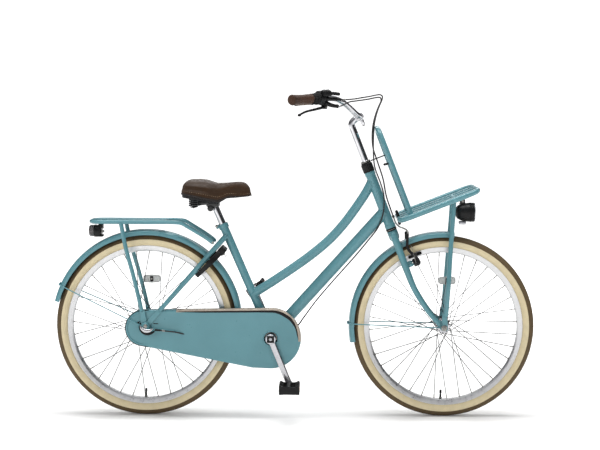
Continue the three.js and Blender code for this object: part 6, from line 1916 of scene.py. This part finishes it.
for s in (-1, 1):
    weld(P, S(82, 247, s * 98), A(0, -s, 0), 6, S(82, 247, s * 108), U_DIR, 9.6, PAINT, 1.0, 40)
    legs = [(1101, s * 38, 791), (1097, s * 40, 720), (1092, s * 44, 650), (1086, s * 54, 560), (1081, s * 66, 480), (1073, s * 66, 374)]
    P.tube(legs, 8.5, PAINT, 24, n=70, ends="round")
    q = -0.07
    ex, ez = A(math.cos(q), 0, -math.sin(q)), A(math.sin(q), 0, math.cos(q))
    P.plate(fil([(-9.5, -31), (9.5, -31), (10, 0), (8, 30), (4, 36), (-4, 36), (-8, 30), (-10, 0)], 6, 4, True), -1.7, 1.7,
            (A(1069.5, s * 61.9, 348), ex, ez, A(0, -1, 0)), PAINT, 0.6, holes=[circle(-0.4, -21, 5.2, 24)])
P.plate(fil([(-33, -9), (33, -9), (33, 9), (-33, 9)], 3, 3, True), -2, 2, (S(52, 262), N_DIR, A(0, 1, 0), U_DIR), BLACK, 0.8)
P.rbox(S(80, 254), (6, 18, 18), BLACK, [N_DIR, A(0, 1, 0), U_DIR], 1.5)
P.bolt(S(83, 254), N_DIR, 3.6, 3, STEEL)
P.tube([(848.0, -104, 912.3), (862.1, -106, 915.9)], 4.2, BLACK, 18, curve=False, ends="round")
P.done("look_front_carrier", "steering", ["front_carrier"])

# ---------- headlight
P = Piece()
o = A(1143.0, 0, 738)
ax = A(1, 0, 0)
P.lathe(fil([(0, -34), (9, -34), (17, -32), (24, -26.5), (29, -17), (32.5, -4), (34.2, 12), (34.5, 24), (34.5, 32.4), (33.4, 33.4), (31.2, 33.4), (31.0, 27)], 2.2, 4), o, ax, BLACK, 88)
P.lathe(fil([(34.2, 17), (35.0, 17.6), (35.0, 21), (34.2, 21.6)], 0.4, 2), o, ax, BLACK_SOFT, 88)
P.lathe(fil([(31.0, 31.5), (33.2, 32.6), (34.0, 34.0), (32.6, 36.0), (30.6, 35.4)], 0.8, 3, True), o, ax, ALLOY, 88, closed=True)
P.lathe(fil([(31.4, 24), (31.4, 30.5), (28, 32.6), (18, 35.2), (8, 36.6), (0, 37)], 2, 3), o, ax, LENS, 72)
P.lathe([(30.8, 25), (22, 14), (12, 4), (5, 0.5), (0, 0)], o, ax, CHROME, 64)
P.lathe(fil([(0, 0), (4.2, 0), (4.6, 8), (3.4, 12), (0, 13)], 1, 3), o + ax * 1, ax, ALLOY_BRIGHT, 24)
P.rbox(A(1134, 0, 775), (18, 22, 20), BLACK, None, 3)
P.rbox(A(1129, 0, 786), (22, 12, 5), BLACK, None, 1.6)
P.rbox(A(1134, 0, 700), (26, 24, 12), ALLOY, None, 3)
P.bolt(A(1134, -11, 778), A(0, -1, 0), 3.4, 3, STEEL)
P.lathe(fil([(0, 0), (4.6, 0), (4.6, 2.4), (3.6, 3.4), (0, 3.4)], 0.5, 2), o + A(-16, 0, 30), A(-0.35, 0, 0.93), BLACK_SOFT, 28)
P.done("look_headlight", "steering", ["headlight"])

# ------------------------------------------------------------------ room
floor_mesh = bpy.data.meshes.new("floor")
r = 40.0
floor_mesh.from_pydata([(-r, -r, 0), (r, -r, 0), (r, r, 0), (-r, r, 0)], [], [(0, 1, 2, 3)])
floor = bpy.data.objects.new("floor", floor_mesh)
scene.collection.objects.link(floor)
k = Nodes("pale_floor")
# the sweep of the studio: farther from the bicycle the paper is lit by lamps of its own
away = k.t.nodes.new("ShaderNodeVectorMath")
away.operation = "LENGTH"
k.link(k.coord.outputs["Object"], away.inputs[0])
glow = k.t.nodes.new("ShaderNodeMapRange")
glow.interpolation_type = "SMOOTHSTEP"
glow.inputs["From Min"].default_value, glow.inputs["From Max"].default_value = 0.9, 3.2
glow.inputs["To Min"].default_value, glow.inputs["To Max"].default_value = 0.0, 0.85
k.link(away.outputs["Value"], glow.inputs["Value"])
# painted light: near the bicycle the floor glows of itself except close to each tyre's contact, painting away the
# bicycle's broad shadow and leaving a dark patch under each tyre
near = []
for side_x in (-0.534, 0.534):
    moved = k.t.nodes.new("ShaderNodeVectorMath")
    moved.operation = "MULTIPLY_ADD"
    k.link(k.coord.outputs["Object"], moved.inputs[0])
    moved.inputs[1].default_value = (1.0, 2.6, 1.0)
    moved.inputs[2].default_value = (-side_x, 0.0, 0.0)
    gap = k.t.nodes.new("ShaderNodeVectorMath")
    gap.operation = "LENGTH"
    k.link(moved.outputs[0], gap.inputs[0])
    near.append(gap.outputs["Value"])
painted_floor_light = k.t.nodes.new("ShaderNodeMapRange")
painted_floor_light.interpolation_type = "SMOOTHSTEP"
painted_floor_light.inputs["From Min"].default_value, painted_floor_light.inputs["From Max"].default_value = 0.12, 0.46
painted_floor_light.inputs["To Min"].default_value, painted_floor_light.inputs["To Max"].default_value = 0.0, 0.16
k.link(k.math("MINIMUM", near[0], near[1]), painted_floor_light.inputs["Value"])
k.set(
    Base_Color=k.ramp(k.noise(3, 3), lin("f3f3f2"), lin("f7f7f6"), 0.3, 0.7),
    Roughness=0.85,
    Specular_IOR_Level=0.2,
    Emission_Color=(1.0, 1.0, 1.0, 1.0),
    Emission_Strength=k.math("MAXIMUM", glow.outputs[0], painted_floor_light.outputs[0]),
    Normal=k.bump(k.noise(180, 3), 0.0002),
)
floor_mesh.materials.append(k.m)

world = bpy.data.worlds.new("studio")
scene.world = world
world.use_nodes = True
wt = world.node_tree
bg = wt.nodes["Background"]
tc = wt.nodes.new("ShaderNodeTexCoord")
sep = wt.nodes.new("ShaderNodeSeparateXYZ")
wt.links.new(tc.outputs["Generated"], sep.inputs[0])
up_ramp = wt.nodes.new("ShaderNodeValToRGB")
e = up_ramp.color_ramp.elements
e[0].position, e[0].color = 0.0, (0.5, 0.5, 0.51, 1)
e[1].position, e[1].color = 1.0, (0.62, 0.62, 0.62, 1)
for pos, v in ((0.05, 0.42), (0.14, 0.22), (0.42, 0.2), (0.6, 0.5)):
    q = up_ramp.color_ramp.elements.new(pos)
    q.color = (v, v, v * 1.02, 1)
wt.links.new(sep.outputs["Z"], up_ramp.inputs["Fac"])
turned = wt.nodes.new("ShaderNodeMath")
turned.operation = "MULTIPLY"
wt.links.new(sep.outputs["Y"], turned.inputs[0])
turned.inputs[1].default_value = -1.0
bearing = wt.nodes.new("ShaderNodeMath")
bearing.operation = "ARCTAN2"
wt.links.new(sep.outputs["X"], bearing.inputs[0])
wt.links.new(turned.outputs[0], bearing.inputs[1])
around = wt.nodes.new("ShaderNodeMapRange")
around.inputs["From Min"].default_value, around.inputs["From Max"].default_value = -math.pi, math.pi
wt.links.new(bearing.outputs[0], around.inputs["Value"])
side_ramp = wt.nodes.new("ShaderNodeValToRGB")
se = side_ramp.color_ramp.elements
se[0].position, se[0].color = 0.0, (0.75, 0.75, 0.76, 1)
se[1].position, se[1].color = 1.0, (0.75, 0.75, 0.76, 1)
for deg, v in ((-150, 0.35), (-118, 0.3), (-104, 0.9), (-64, 0.9), (-58, 0.2), (-51, 0.2), (-46, 2.0), (4, 2.0), (14, 0.3), (60, 0.22), (112, 0.3), (130, 0.75)):
    q = side_ramp.color_ramp.elements.new((deg + 180) / 360)
    q.color = (v, v, v * 1.02, 1)
wt.links.new(around.outputs[0], side_ramp.inputs["Fac"])
high = wt.nodes.new("ShaderNodeMapRange")
high.inputs["From Min"].default_value, high.inputs["From Max"].default_value = 0.35, 0.75
wt.links.new(sep.outputs["Z"], high.inputs["Value"])
evened = wt.nodes.new("ShaderNodeMix")
evened.data_type = "RGBA"
wt.links.new(high.outputs[0], evened.inputs[0])
wt.links.new(side_ramp.outputs["Color"], evened.inputs[6])
evened.inputs[7].default_value = (1.0, 1.0, 1.0, 1)
around_up = wt.nodes.new("ShaderNodeMix")
around_up.data_type = "RGBA"
around_up.blend_type = "MULTIPLY"
around_up.inputs[0].default_value = 1.0
wt.links.new(up_ramp.outputs["Color"], around_up.inputs[6])
wt.links.new(evened.outputs[2], around_up.inputs[7])
light_path = wt.nodes.new("ShaderNodeLightPath")
mixw = wt.nodes.new("ShaderNodeMix")
mixw.data_type = "RGBA"
wt.links.new(light_path.outputs["Is Camera Ray"], mixw.inputs[0])
wt.links.new(around_up.outputs[2], mixw.inputs[6])
mixw.inputs[7].default_value = (1.3, 1.3, 1.3, 1)
wt.links.new(mixw.outputs[2], bg.inputs["Color"])
bg.inputs["Strength"].default_value = 1.0


def area(name, loc, target, size, power, size_y=None):
    data = bpy.data.lights.new(name, "AREA")
    data.energy = power
    data.shape = "RECTANGLE"
    data.size, data.size_y = size, size_y or size
    o_ = bpy.data.objects.new(name, data)
    scene.collection.objects.link(o_)
    o_.location = loc
    o_.rotation_euler = (Vector(target) - Vector(loc)).to_track_quat("-Z", "Y").to_euler()
    return o_


area("top_soft", (0.0, 0.0, 4.2), (0, 0, 0), 4.2, 150, 1.1)
for lamp in (
    area("front_left", (-3.4, -4.4, 2.4), (0, 0, 0.6), 1.6, 78, 2.4),
    area("front_right", (3.6, -4.2, 2.2), (0, 0, 0.6), 1.2, 52, 2.4),
):
    lamp.visible_glossy = False
area("back_soft", (0.4, 4.2, 3.0), (0, 0, 0.6), 3.4, 45, 1.4)
scene.view_settings.view_transform = "Standard"
scene.view_settings.look = "None"
